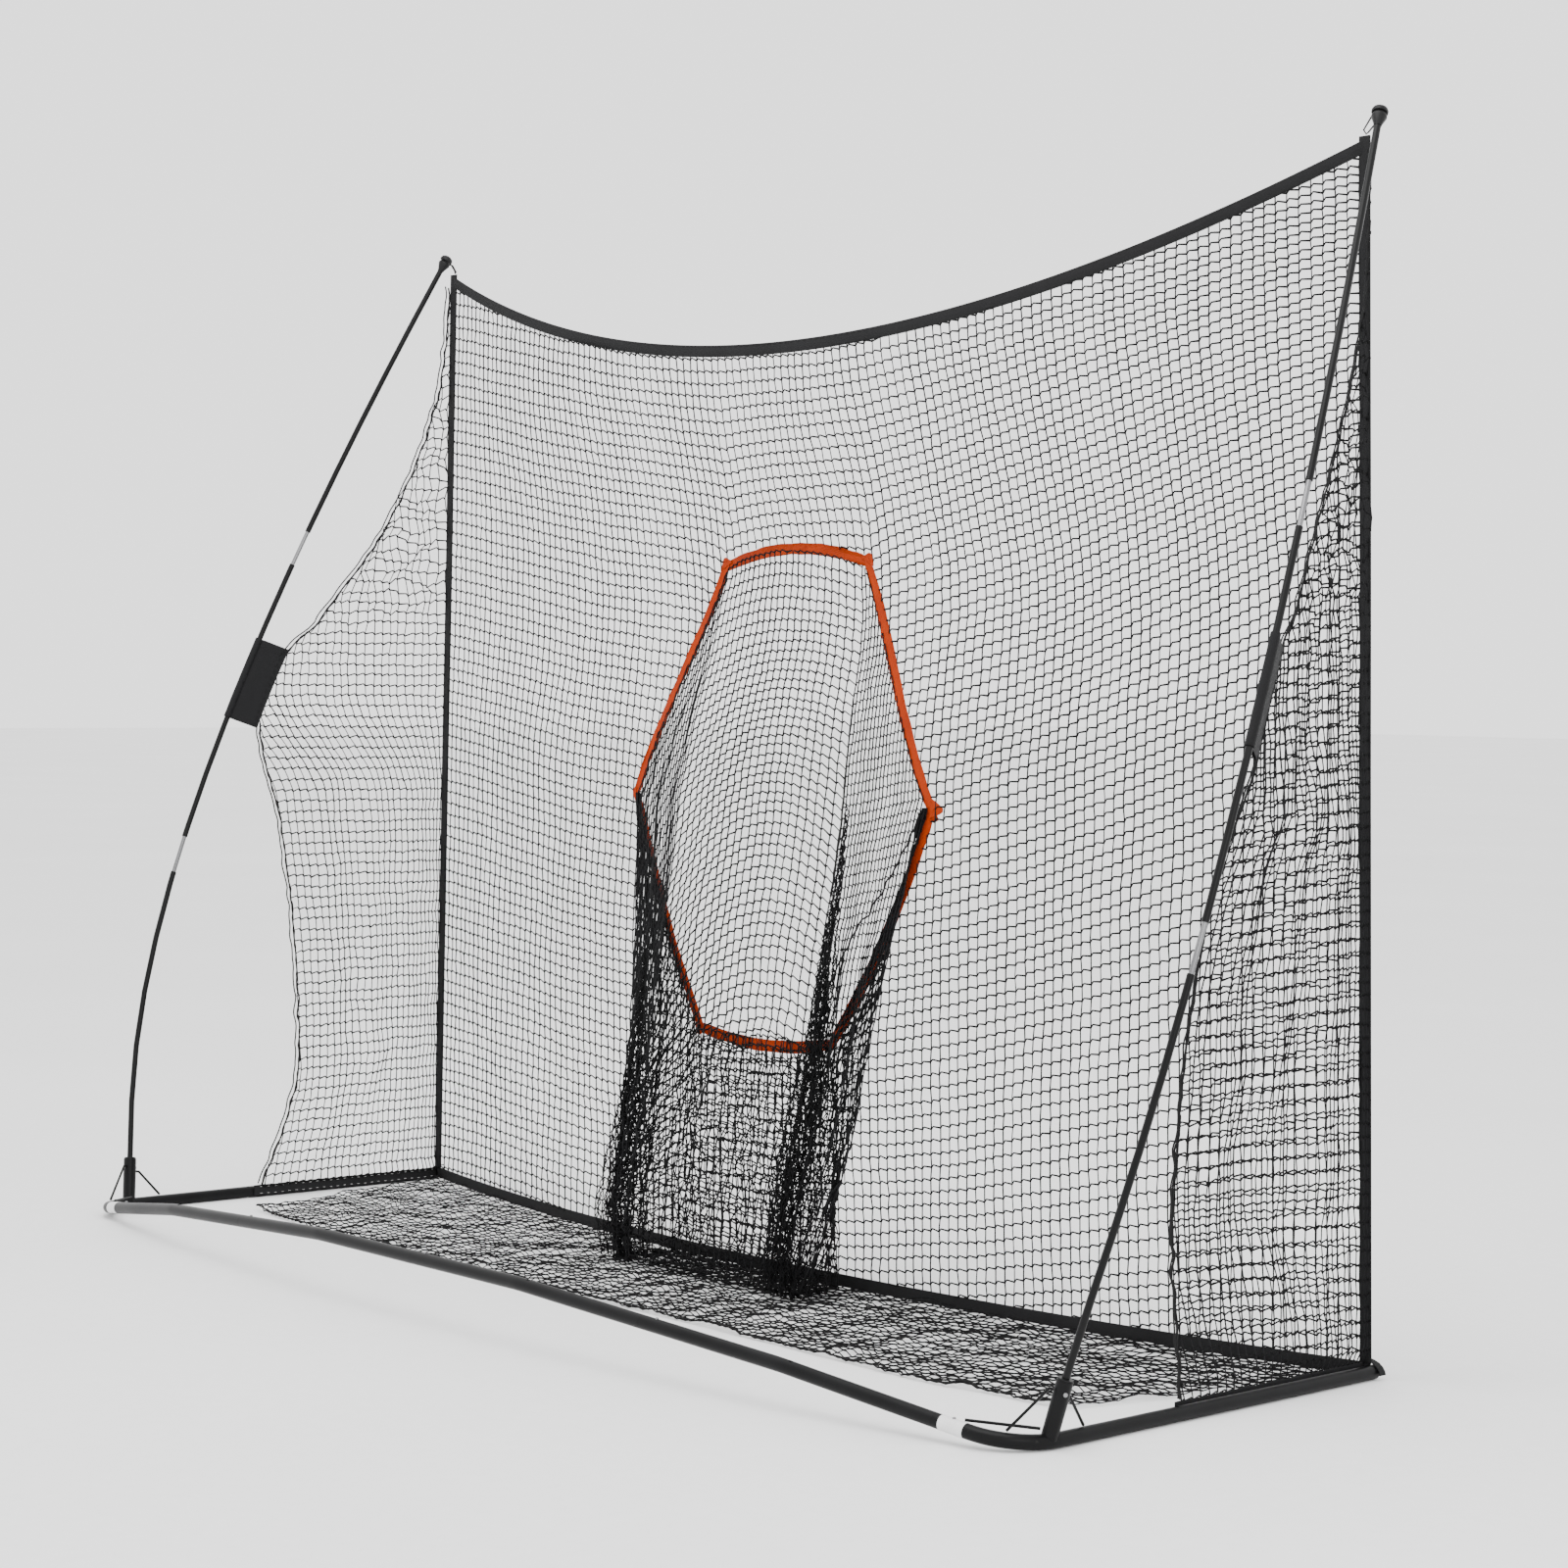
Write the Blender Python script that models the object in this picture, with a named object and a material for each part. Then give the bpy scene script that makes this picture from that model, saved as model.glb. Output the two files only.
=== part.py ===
"""Golf practice net on a tubular base: an arched rear bar of push-fit tubes, two corner tubes whose arms lie
on the ground, two bowed three-section poles, webbing-edged netting and a hexagonal target with its pocket.
The object faces +Y (the side the ball comes from), its width runs along X, and it stands on z = 0."""
import math

import bmesh
import bpy
from mathutils import Matrix, Vector

# Base tubes (metres)
TUBE_OD = 0.0254
TUBE_WALL = 0.0012
TUBE_SIDES = 16
GAP = 0.0003                  # left between pieces that touch
REAR_TUBE_LENGTH = 0.676      # ring to ring, each of the four rear tubes
REAR_TUBE_KINK = 6.15         # degrees, at the middle of each rear tube
ARCH_TILT = 38.0              # degrees, the plane of the rear arch above the ground
CORNER_RADIUS = 0.11
BASE_DEPTH = 0.915            # corner point to the front of the arms
ARM_TOE_IN = 0.028            # each arm's front end is this much nearer the middle
JOINT_OVERLAP = 0.055         # length of a swaged end inside the next tube
CORNER_STUB = JOINT_OVERLAP + 0.97818 * CORNER_RADIUS   # outermost joint to the corner point: overlap, then bend
SWAGE_DROP = 0.0017           # radius lost at a swaged end
BUTTON_SET_BACK = 0.036       # from a joint's ring to its snap button
BUTTON_RADIUS = 0.003
BUTTON_PROUD = 0.003
BUTTON_LEAF_WIDTH = 0.008
BUTTON_LEAF = 0.0008          # spring strip thickness
ARM_CAP_LIP = 0.005
TIE_HOLE = 0.009              # upright holes for pegs or ties
TIE_PAST_KINK = 0.03
ARM_TIE_HOLE = 0.387          # from the corner point

# Pole sockets
SOCKET_OD = 0.028
SOCKET_WALL = 0.0015
SOCKET_LENGTH = 0.091
SOCKET_SET_BACK = 0.079       # from the corner point, along the arm
SOCKET_LEAN_OUT = 0.225       # slope per unit of height
SOCKET_LEAN_FORWARD = 0.150
CUP_LIP = 0.003
CUP_DEPTH = 0.072
BRACE_DIAMETER = 0.005

# Poles
POLE_OD = 0.0127
POLE_BORE = 0.0102
POLE_SIDES = 12
FERRULE_OD = 0.0094
FERRULE_SHOWN = 0.088
FERRULE_HIDDEN = 0.03
LOWER_SECTION = 0.755
MIDDLE_SECTION = 0.706
POLE_FIT = 0.0004             # radial clearance of a pole in its cup
CAP_RADIUS = 0.0152
CAP_LENGTH = 0.042
CORD_DIAMETER = 0.003
POLE_TIP_OUT = 0.027          # of the panel's top corner
POLE_TIP_BACK = 0.017
POLE_TIP_UP = 0.012
POLE_TIP_SLOPES = (-0.2078, 0.4877)           # per unit of height, across and forward
FOOT_HANDLE = 0.235           # how strongly the pole leaves its socket, and reaches its tip
TIP_HANDLE = 1.631

# Netting and webbing
NET_HEIGHT = 2.215            # top corners of the panel
TOP_TAPER = 0.036             # each top corner is this much nearer the middle than the arm's front end
TOP_SAG = 0.273
STRAP_WIDTH = 0.025
STRAP_THICKNESS = 0.002
NET_THICKNESS = 0.0024
NET_INSET = 0.0015            # from a strap's edge to the net beside it
TOP_CHORD = 0.010             # more room under the curved top strap, whose net edge is made of chords
BOW = [(0.0, 0.182), (0.5, 0.189), (1.0, 0.178), (1.5, 0.114), (1.95, 0.148), (2.25, 0.15)]
RING_HALF_WIDTHS = (0.226, 0.473, 0.212)      # top, middle, bottom corners of the target
RING_HEIGHTS = (1.477, 0.984, 0.494)
RING_TOP_ARCH = 0.033
POCKET_HALF_WIDTH = 0.30
POCKET_FRONT = 0.36           # how far behind the panel's plane the pocket's foot reaches
POCKET_BACK = 0.215
POCKET_FLOOR = 0.016
POCKET_BULGE = 0.02
SLEEVE_LOW = 1.079            # along the pole from the socket's mouth
SLEEVE_HIGH = 1.283
SLEEVE_FLAP = 0.075
SLEEVE_THICKNESS = 0.0018
SLEEVE_LOOSE = 0.0015         # between the pole and the fabric round it
SIDE_TOP = NET_HEIGHT - 0.345  # where the side net leaves the panel's edge
SIDE_ARM_REACH = 0.517        # how far back along the arm the side net is held
FLOOR_REACH = 0.652
FLOOR_CORNER = (1.308, 0.607)

R = TUBE_OD / 2
KINK = math.radians(REAR_TUBE_KINK)
TILT = math.radians(ARCH_TILT)


# The rear arch, worked out from its middle to the corner point
def arch_chain():
    """Corners of half the arch as (along X, drop in the arch's plane), middle first, corner point last."""
    spans = (REAR_TUBE_LENGTH / 2, REAR_TUBE_LENGTH, REAR_TUBE_LENGTH / 2, CORNER_STUB)
    slopes = (0.0, KINK, 2 * KINK, 2 * KINK)
    chain = [(0.0, 0.0)]
    for span, slope in zip(spans, slopes):
        x, drop = chain[-1]
        chain.append((x + span * math.cos(slope), drop + span * math.sin(slope)))
    return chain


CHAIN = arch_chain()
FULL_DROP = CHAIN[-1][1]
MID_Y = -BASE_DEPTH - FULL_DROP * math.cos(TILT)
MID_Z = R + FULL_DROP * math.sin(TILT)


def arch_point(x, drop, side=1):
    return Vector((side * x, MID_Y + drop * math.cos(TILT), MID_Z - drop * math.sin(TILT)))


CORNER = arch_point(*CHAIN[-1])
ARM_FRONT = Vector((CORNER.x - ARM_TOE_IN, 0.0, R))
ARM_ALONG = (ARM_FRONT - CORNER).normalized()
TOP_HALF = ARM_FRONT.x - TOP_TAPER
POLE_TIP = Vector((TOP_HALF + POLE_TIP_OUT, -POLE_TIP_BACK, NET_HEIGHT + POLE_TIP_UP))
TIP_DIRECTION = Vector((*POLE_TIP_SLOPES, 1.0)).normalized()


KNOB_PROFILE = (
    (-0.02, POLE_BORE / 2 - GAP),
    (0.0, POLE_BORE / 2 - GAP),
    (0.0001, POLE_OD / 2 + 0.0008),
    (0.004, POLE_OD / 2 + 0.0015),
    (0.019, CAP_RADIUS * 0.93),
    (0.023, CAP_RADIUS * 0.88),
    (0.0235, CAP_RADIUS * 0.55),
    (0.0275, CAP_RADIUS * 0.55),
    (0.028, CAP_RADIUS * 0.97),
    (0.032, CAP_RADIUS),
    (0.037, CAP_RADIUS * 0.85),
    (0.0405, CAP_RADIUS * 0.5),
    (CAP_LENGTH, CAP_RADIUS * 0.16),
)


def knob_front():
    """How far the knobs reach in front of the panel's plane."""
    slant = math.sqrt(1 - TIP_DIRECTION.y ** 2)
    return max(POLE_TIP.y + TIP_DIRECTION.y * (GAP + step) + radius * slant for step, radius in KNOB_PROFILE)


ORIGIN_Y = -(MID_Y - R + knob_front()) / 2     # puts the origin midway between the front and the back


def side_of(point, side):
    return Vector((side * point.x, point.y, point.z))


def joint_points():
    """The five joints of the rear bar, from -X to +X."""
    outer = arch_point(*CHAIN[3])
    inner_x = REAR_TUBE_LENGTH / 2 + REAR_TUBE_LENGTH / 2 * math.cos(KINK)
    inner = arch_point(inner_x, REAR_TUBE_LENGTH / 2 * math.sin(KINK))
    middle = arch_point(0.0, 0.0)
    return [side_of(outer, -1), side_of(inner, -1), middle, inner, outer]


def kink_points():
    near, far = arch_point(*CHAIN[1]), arch_point(*CHAIN[2])
    return [side_of(far, -1), side_of(near, -1), near, far]


# Scene, materials and mesh helpers
def clear_scene():
    for thing in list(bpy.data.objects):
        bpy.data.objects.remove(thing, do_unlink=True)


def make_material(name, colour, roughness, metallic=0.0):
    made = bpy.data.materials.new(name)
    made.use_nodes = True
    shader = made.node_tree.nodes["Principled BSDF"]
    shader.inputs["Base Color"].default_value = (*colour, 1.0)
    shader.inputs["Roughness"].default_value = roughness
    shader.inputs["Metallic"].default_value = metallic
    return made


def add_object(name, bm, look, smooth=True):
    """Turns a bmesh into a named object under the origin empty."""
    bmesh.ops.recalc_face_normals(bm, faces=bm.faces)
    mesh = bpy.data.meshes.new(name)
    bm.to_mesh(mesh)
    bm.free()
    if smooth:
        mesh.shade_smooth()
        mesh.set_sharp_from_angle(angle=math.radians(40))
    thing = bpy.data.objects.new(name, mesh)
    bpy.context.scene.collection.objects.link(thing)
    thing.parent = bpy.data.objects["net_origin"]
    if look is None:
        thing.hide_render = True
        thing.display_type = "WIRE"
    else:
        mesh.materials.append(LOOKS[look])
    return thing


def path_frames(points, up):
    """A matrix at each point: its Z runs along the path and its Y leans towards up."""
    frames = []
    for i, point in enumerate(points):
        before = points[max(i - 1, 0)]
        after = points[min(i + 1, len(points) - 1)]
        ahead = Vector((0, 0, 0))
        if i:
            ahead += (point - before).normalized()
        if i < len(points) - 1:
            ahead += (after - point).normalized()
        ahead.normalize()
        across = up.cross(ahead).normalized()
        turned = Matrix((across, ahead.cross(across), ahead)).transposed().to_4x4()
        frames.append(Matrix.Translation(point) @ turned)
    return frames


def add_ring(bm, frame, radius, sides):
    """A ring with a flat of its polygon towards the frame's Y, measured across those flats."""
    corner = radius / math.cos(math.pi / sides)
    points = []
    for i in range(sides):
        turn = math.pi / 2 + math.pi * (2 * i + 1) / sides
        points.append(frame @ Vector((corner * math.cos(turn), corner * math.sin(turn), 0)))
    return add_loop(bm, points)


def add_loop(bm, points):
    return [bm.verts.new(point) for point in points]


def bridge(bm, loops):
    """Four-sided faces between each loop and the next."""
    for low, high in zip(loops, loops[1:]):
        for i in range(len(low)):
            bm.faces.new((low[i - 1], low[i], high[i], high[i - 1]))


def close_end(bm, loop):
    bm.faces.new(loop)


def hollow_tube(points, outer, inner, sides, up):
    """An open-ended tube: its skin runs along the outside and back along the bore."""
    bm = bmesh.new()
    frames = path_frames(points, up)
    loops = [add_ring(bm, frame, radius, sides) for frame, radius in zip(frames, outer)]
    loops += [add_ring(bm, frame, radius, sides) for frame, radius in zip(frames[::-1], inner[::-1])]
    bridge(bm, loops + loops[:1])
    return bm


def solid_run(points, radii, sides, up):
    """A solid rod or turned piece along a path, flat at both ends."""
    bm = bmesh.new()
    loops = [add_ring(bm, frame, radius, sides) for frame, radius in zip(path_frames(points, up), radii)]
    bridge(bm, loops)
    close_end(bm, loops[0])
    close_end(bm, loops[-1])
    return bm


def sheet(name, columns, rows, place, thickness, look):
    """A closed plate round a grid whose point (u, v) lies at place(u, v)."""
    bm = bmesh.new()
    bmesh.ops.create_grid(bm, x_segments=columns, y_segments=rows, size=1.0)
    for vert in bm.verts:
        vert.co = place((vert.co.x + 1) / 2, (vert.co.y + 1) / 2)
    return thicken(add_object(name, bm, look), thickness)


def thicken(thing, thickness):
    solid = thing.modifiers.new("thickness", "SOLIDIFY")
    solid.thickness = thickness
    solid.offset = 0.0
    return thing


def cut(thing, cutter):
    hole = thing.modifiers.new("cut", "BOOLEAN")
    hole.operation = "DIFFERENCE"
    hole.solver = "EXACT"
    hole.object = cutter


def arc_corner(start, corner, end, radius, steps):
    """Points of a fillet between two straight lines that meet at corner."""
    first = (start - corner).normalized()
    last = (end - corner).normalized()
    half = math.acos(first.dot(last)) / 2
    centre = corner + (first + last).normalized() * (radius / math.sin(half))
    begin = corner + first * (radius / math.tan(half)) - centre
    finish = corner + last * (radius / math.tan(half)) - centre
    sweep = math.pi - 2 * half
    points = []
    for i in range(steps + 1):
        angle = sweep * i / steps
        spoke = begin * math.sin(sweep - angle) + finish * math.sin(angle)
        points.append(centre + spoke / math.sin(sweep))
    return points


UP = Vector((0, 0, 1))
OUT = Vector((1, 0, 0))


# Base frame
def swaged(points, at_start):
    """Adds a swaged end to a path and returns its points with the outer and inner radius at each."""
    run = points if at_start else points[::-1]
    along = (run[0] - run[1]).normalized()
    step = 0.0001
    grown = [run[0] + along * JOINT_OVERLAP, run[0] + along * step, run[0], run[0] - along * 0.003] + run[1:]
    outer = [R - SWAGE_DROP] * 2 + [R] * (len(run) + 1)
    inner = [R - SWAGE_DROP - TUBE_WALL] * 3 + [R - TUBE_WALL] * len(run)
    if at_start:
        return grown, outer, inner
    return grown[::-1], outer[::-1], inner[::-1]


def button_frame(joint, along):
    """Z of this matrix is the snap button's axis; X runs along the tube, into the socket end."""
    across = UP.cross(along).normalized()
    axis = along.cross(across).normalized()
    turned = Matrix((along, axis.cross(along), axis)).transposed().to_4x4()
    return Matrix.Translation(joint + along * BUTTON_SET_BACK) @ turned


def button_hole(name, frame):
    """Cutter for the hole that one snap button comes up through."""
    bm = bmesh.new()
    half = R + BUTTON_PROUD
    bmesh.ops.create_cone(bm, cap_ends=True, segments=12, radius1=BUTTON_RADIUS + 0.0004,
                          radius2=BUTTON_RADIUS + 0.0004, depth=half,
                          matrix=frame @ Matrix.Translation((0, 0, half / 2 + 0.002)))
    return add_object(name, bm, None)


def tie_hole(name, centre):
    """Cutter for an upright hole right through a tube."""
    bm = bmesh.new()
    bmesh.ops.create_cone(bm, cap_ends=True, segments=12, radius1=TIE_HOLE / 2, radius2=TIE_HOLE / 2,
                          depth=3 * TUBE_OD, matrix=Matrix.Translation(centre))
    return add_object(name, bm, None)


def tube_node(name, points, male, frames, tie):
    """One base tube. male is None, "start" or "end"; frames are the button frames that pierce it."""
    outer, inner = [R] * len(points), [R - TUBE_WALL] * len(points)
    if male:
        points, outer, inner = swaged(points, male == "start")
    tube = add_object(name, hollow_tube(points, outer, inner, TUBE_SIDES, UP), "frame_paint")
    for i, frame in enumerate(frames):
        cut(tube, button_hole(f"{name}_hole_{i + 1}", frame))
    cut(tube, tie_hole(f"{name}_tie_hole", tie))
    return tube


def corner_path(side):
    """From the outermost joint round the corner to the front of the arm."""
    joint = side_of(arch_point(*CHAIN[3]), side)
    corner, front = side_of(CORNER, side), side_of(ARM_FRONT, side)
    stub = (corner - joint).normalized()
    return [joint + stub * (GAP / 2)] + arc_corner(joint, corner, front, CORNER_RADIUS, 12) + [front]


def base_frame():
    joints, kinks = joint_points(), kink_points()
    aheads = [(kinks[i] - joints[i]).normalized() for i in range(4)]
    aheads.append((side_of(CORNER, 1) - joints[4]).normalized())
    frames = [button_frame(joint, ahead) for joint, ahead in zip(joints, aheads)]
    ties = [side_of(CORNER + ARM_ALONG * ARM_TIE_HOLE, side) for side in (-1, 1)]
    tube_node("corner_tube_left", corner_path(-1), "start", [frames[0]], ties[0])
    for i in range(4):
        ahead = (joints[i + 1] - kinks[i]).normalized()
        near = [kinks[i] - aheads[i] * 0.01, kinks[i] + ahead * 0.01]
        path = [joints[i] + aheads[i] * (GAP / 2)] + near + [joints[i + 1] - ahead * (GAP / 2)]
        tie = kinks[i] + ahead * TIE_PAST_KINK
        tube_node(f"rear_tube_{i + 1}", path, "end", [frames[i], frames[i + 1]], tie)
    tube_node("corner_tube_right", corner_path(1), None, [frames[4]], ties[1])
    for i, frame in enumerate(frames):
        snap_button(i + 1, frame)
        button_spring(i + 1, frame)


def snap_button(number, frame):
    """A domed pin on the free leg of its leaf spring, inside the swaged end."""
    bore = R - SWAGE_DROP - TUBE_WALL
    leg_top = math.sqrt(bore ** 2 - (BUTTON_LEAF_WIDTH / 2) ** 2) - 0.0005
    tip = R + BUTTON_PROUD
    seat = frame.to_translation()
    frame = Matrix.Translation(-seat) @ frame
    bm = bmesh.new()
    leg = Matrix.Translation((-0.006, 0, leg_top - BUTTON_LEAF / 2))
    size = Matrix.Diagonal((0.022, BUTTON_LEAF_WIDTH, BUTTON_LEAF, 1))
    bmesh.ops.create_cube(bm, size=1.0, matrix=frame @ leg @ size)
    strip = add_object(f"snap_button_{number}", bm, "bright_steel")
    strip.location = seat
    heights = (leg_top - BUTTON_LEAF / 2, tip - 0.0012, tip - 0.0004, tip)
    radii = (BUTTON_RADIUS, BUTTON_RADIUS, BUTTON_RADIUS * 0.75, BUTTON_RADIUS * 0.3)
    points = [frame @ Vector((0, 0, height)) for height in heights]
    pin = add_object(f"snap_pin_{number}", solid_run(points, radii, 12, frame.to_3x3() @ OUT), None)
    pin.location = seat
    joined = strip.modifiers.new("pin", "BOOLEAN")
    joined.operation = "UNION"
    joined.solver = "EXACT"
    joined.object = pin


def button_spring(number, frame):
    """The fixed leg of the leaf spring and the bend that carries the free leg."""
    bore = R - SWAGE_DROP - TUBE_WALL
    low = -math.sqrt(bore ** 2 - (BUTTON_LEAF_WIDTH / 2) ** 2) + 0.0006 + BUTTON_LEAF / 2
    bend = 0.0055
    run = [(-0.004, low), (-0.018, low)]
    run += [(-0.018 - bend * math.sin(turn), low + bend * (1 - math.cos(turn)))
            for turn in (math.radians(step) for step in (30, 60, 90, 120, 150))]

    def place(u, v):
        spot = u * (len(run) - 1)
        i = min(int(spot), len(run) - 2)
        mix = spot - i
        x, z = (run[i][k] * (1 - mix) + run[i + 1][k] * mix for k in (0, 1))
        return frame @ Vector((x, (v - 0.5) * BUTTON_LEAF_WIDTH, z))

    sheet(f"button_spring_{number}", len(run) - 1, 1, place, BUTTON_LEAF, "bright_steel")


def arm_caps():
    """Plugs that close the arms' front ends."""
    bore = R - TUBE_WALL - GAP
    for side, word in ((-1, "left"), (1, "right")):
        front = side_of(ARM_FRONT, side)
        ahead = side_of(ARM_ALONG, side)
        steps = ((-0.018, bore), (GAP, bore), (GAP + 0.0001, R), (ARM_CAP_LIP * 0.7, R))
        steps += ((ARM_CAP_LIP, R * 0.82),)
        points = [front + ahead * step for step, _ in steps]
        add_object(f"arm_end_cap_{word}", solid_run(points, [radius for _, radius in steps], TUBE_SIDES, UP),
                   "black_plastic")


# Pole sockets
SOCKET_LEAN = Vector((SOCKET_LEAN_OUT, SOCKET_LEAN_FORWARD, 1.0)).normalized()
SOCKET_FOOT = CORNER + ARM_ALONG * SOCKET_SET_BACK + Vector((0, 0, R))
SOCKET_TOP = SOCKET_FOOT + SOCKET_LEAN * SOCKET_LENGTH


def sockets():
    for side, word in ((-1, "left"), (1, "right")):
        lean = side_of(SOCKET_LEAN, side)
        foot, top = side_of(SOCKET_FOOT, side), side_of(SOCKET_TOP, side)
        radius = SOCKET_OD / 2
        points = [foot - lean * 0.008, foot + lean * 0.02, top]
        pipe = hollow_tube(points, [radius] * 3, [radius - SOCKET_WALL] * 3, TUBE_SIDES, OUT)
        socket = add_object(f"pole_socket_{word}", pipe, "frame_paint")
        path = corner_path(side)
        room = solid_run(path, [R + GAP] * len(path), TUBE_SIDES, UP)
        cut(socket, add_object(f"socket_saddle_{word}", room, None))
        socket_cup(word, lean, top)
        braces(side, word, lean, foot, top)


def socket_cup(word, lean, top):
    """Plastic reducer in the socket: a lip on top and a blind bore that the pole stands in."""
    outside = SOCKET_OD / 2 - SOCKET_WALL - GAP
    lip = SOCKET_OD / 2 - 0.0012
    bore = POLE_OD / 2 + POLE_FIT
    profile = ((-CUP_DEPTH, outside), (GAP, outside), (GAP + 0.0001, lip), (CUP_LIP, lip))
    hollow = ((CUP_LIP, bore), (0.003 - CUP_DEPTH, bore))
    bm = bmesh.new()
    loops = []
    for step, radius in profile + hollow:
        frame = path_frames([top + lean * step, top + lean * (step + 0.01)], OUT)[0]
        loops.append(add_ring(bm, frame, radius, TUBE_SIDES))
    bridge(bm, loops)
    close_end(bm, loops[0])
    close_end(bm, loops[-1])
    add_object(f"pole_cup_{word}", bm, "black_plastic")


def braces(side, word, lean, foot, top):
    """Bent rods from the socket's upper part to the tube on both sides of it, and one across the corner."""
    radius = BRACE_DIAMETER / 2
    reach = SOCKET_OD / 2 + radius + GAP
    corner, arm = side_of(CORNER, side), side_of(ARM_ALONG, side)
    stub = (side_of(arch_point(*CHAIN[3]), side) - corner).normalized()
    back_foot = arc_corner(corner + stub, corner, corner + arm, CORNER_RADIUS, 12)[5]
    front_foot = corner + arm * (SOCKET_SET_BACK + 0.078)
    lift = Vector((0, 0, R + radius + GAP))
    for name, end, drop in (("rear", back_foot + lift, 0.018), ("front", front_foot + lift, 0.028)):
        level = top - lean * drop
        away = (end - level) - lean * (end - level).dot(lean)
        away.normalize()
        points = [level + away * reach, level + away * (reach + 0.006), end]
        rod = solid_run(points, [radius] * 3, 8, OUT if abs(away.x) < 0.8 else Vector((0, 1, 0)))
        add_object(f"socket_brace_{name}_{word}", rod, "frame_paint")
    inward = Vector((-side, 0.0, 0.0))
    near = foot + inward * (SOCKET_OD / 2 + 0.0045) + Vector((0, -0.004, radius + 0.003))
    far = corner + stub * (CORNER_STUB * 0.66) + Vector((0, R * 0.35, R + radius + GAP))
    add_object(f"corner_rod_{word}", solid_run([near, far], [radius] * 2, 8, UP), "frame_paint")


# Poles


def pole_curve(side, steps=160):
    """Points along a pole's bow from the socket's mouth to its tip, with the length run so far at each."""
    begin, tip = SOCKET_TOP, POLE_TIP
    handles = (begin, begin + SOCKET_LEAN * FOOT_HANDLE, tip - TIP_DIRECTION * TIP_HANDLE, tip)
    points = []
    for i in range(steps + 1):
        t = i / steps
        weights = ((1 - t) ** 3, 3 * t * (1 - t) ** 2, 3 * t * t * (1 - t), t ** 3)
        point = sum((handle * weight for handle, weight in zip(handles, weights)), Vector((0, 0, 0)))
        points.append(side_of(point, side))
    run = [0.0]
    for before, after in zip(points, points[1:]):
        run.append(run[-1] + (after - before).length)
    return points, run


def pole_point(side, at):
    """The pole's centre at a length from the socket's mouth; straight on past either end."""
    points, run = CURVES[side]
    if at < 0:
        return points[0] + side_of(SOCKET_LEAN, side) * at
    if at > run[-1]:
        return points[-1] + side_of(TIP_DIRECTION, side) * (at - run[-1])
    i = next(k for k in range(1, len(run)) if run[k] >= at)
    mix = (at - run[i - 1]) / (run[i] - run[i - 1])
    return points[i - 1].lerp(points[i], mix)


def pole_run(side, low, high, steps):
    return [pole_point(side, low + (high - low) * i / steps) for i in range(steps + 1)]


def section_run(side, low, high, first, last, steps=5):
    """Like pole_run, with straight end pieces from low to first and from last to high."""
    return [pole_point(side, low)] + pole_run(side, first, last, steps) + [pole_point(side, high)]


CURVES = {side: pole_curve(side) for side in (-1, 1)}
POLE_LENGTH = CURVES[1][1][-1]
POLE_FOOT = 0.003 + GAP - CUP_DEPTH
FERRULES = (POLE_FOOT + LOWER_SECTION, POLE_FOOT + LOWER_SECTION + FERRULE_SHOWN + MIDDLE_SECTION)


def poles():
    """Each pole: three hollow sections joined by bare ferrules, and a knob on the tip."""
    ends = [POLE_FOOT, FERRULES[0], FERRULES[0] + FERRULE_SHOWN, FERRULES[1], FERRULES[1] + FERRULE_SHOWN,
            POLE_LENGTH]
    for side, word in ((-1, "left"), (1, "right")):
        for i, name in enumerate(("lower", "middle", "upper")):
            low, high = ends[2 * i], ends[2 * i + 1]
            first = low + FERRULE_HIDDEN if i else CUP_LIP + 2 * POLE_FIT
            points = section_run(side, low, high, first, high - FERRULE_HIDDEN)
            count = len(points)
            section = hollow_tube(points, [POLE_OD / 2] * count, [POLE_BORE / 2] * count, POLE_SIDES, OUT)
            add_object(f"pole_{name}_{word}", section, "pole_black")
        for i, name in enumerate(("lower", "upper")):
            low, high = FERRULES[i], FERRULES[i] + FERRULE_SHOWN
            points = section_run(side, low - FERRULE_HIDDEN * 0.9, high + FERRULE_HIDDEN * 0.9, low, high, 1)
            rod = solid_run(points, [FERRULE_OD / 2] * 4, POLE_SIDES, OUT)
            add_object(f"ferrule_{name}_{word}", rod, "bright_steel")
        tip_knob(side, word)


def tip_knob(side, word):
    """A knob with a flared collar, a groove for the corner cord and a domed head."""
    start = POLE_LENGTH + GAP
    points = [pole_point(side, POLE_LENGTH) + side_of(TIP_DIRECTION, side) * (start - POLE_LENGTH + step)
              for step, _ in KNOB_PROFILE]
    knob = solid_run(points, [radius for _, radius in KNOB_PROFILE], TUBE_SIDES, OUT)
    add_object(f"pole_tip_knob_{word}", knob, "black_plastic")


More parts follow.
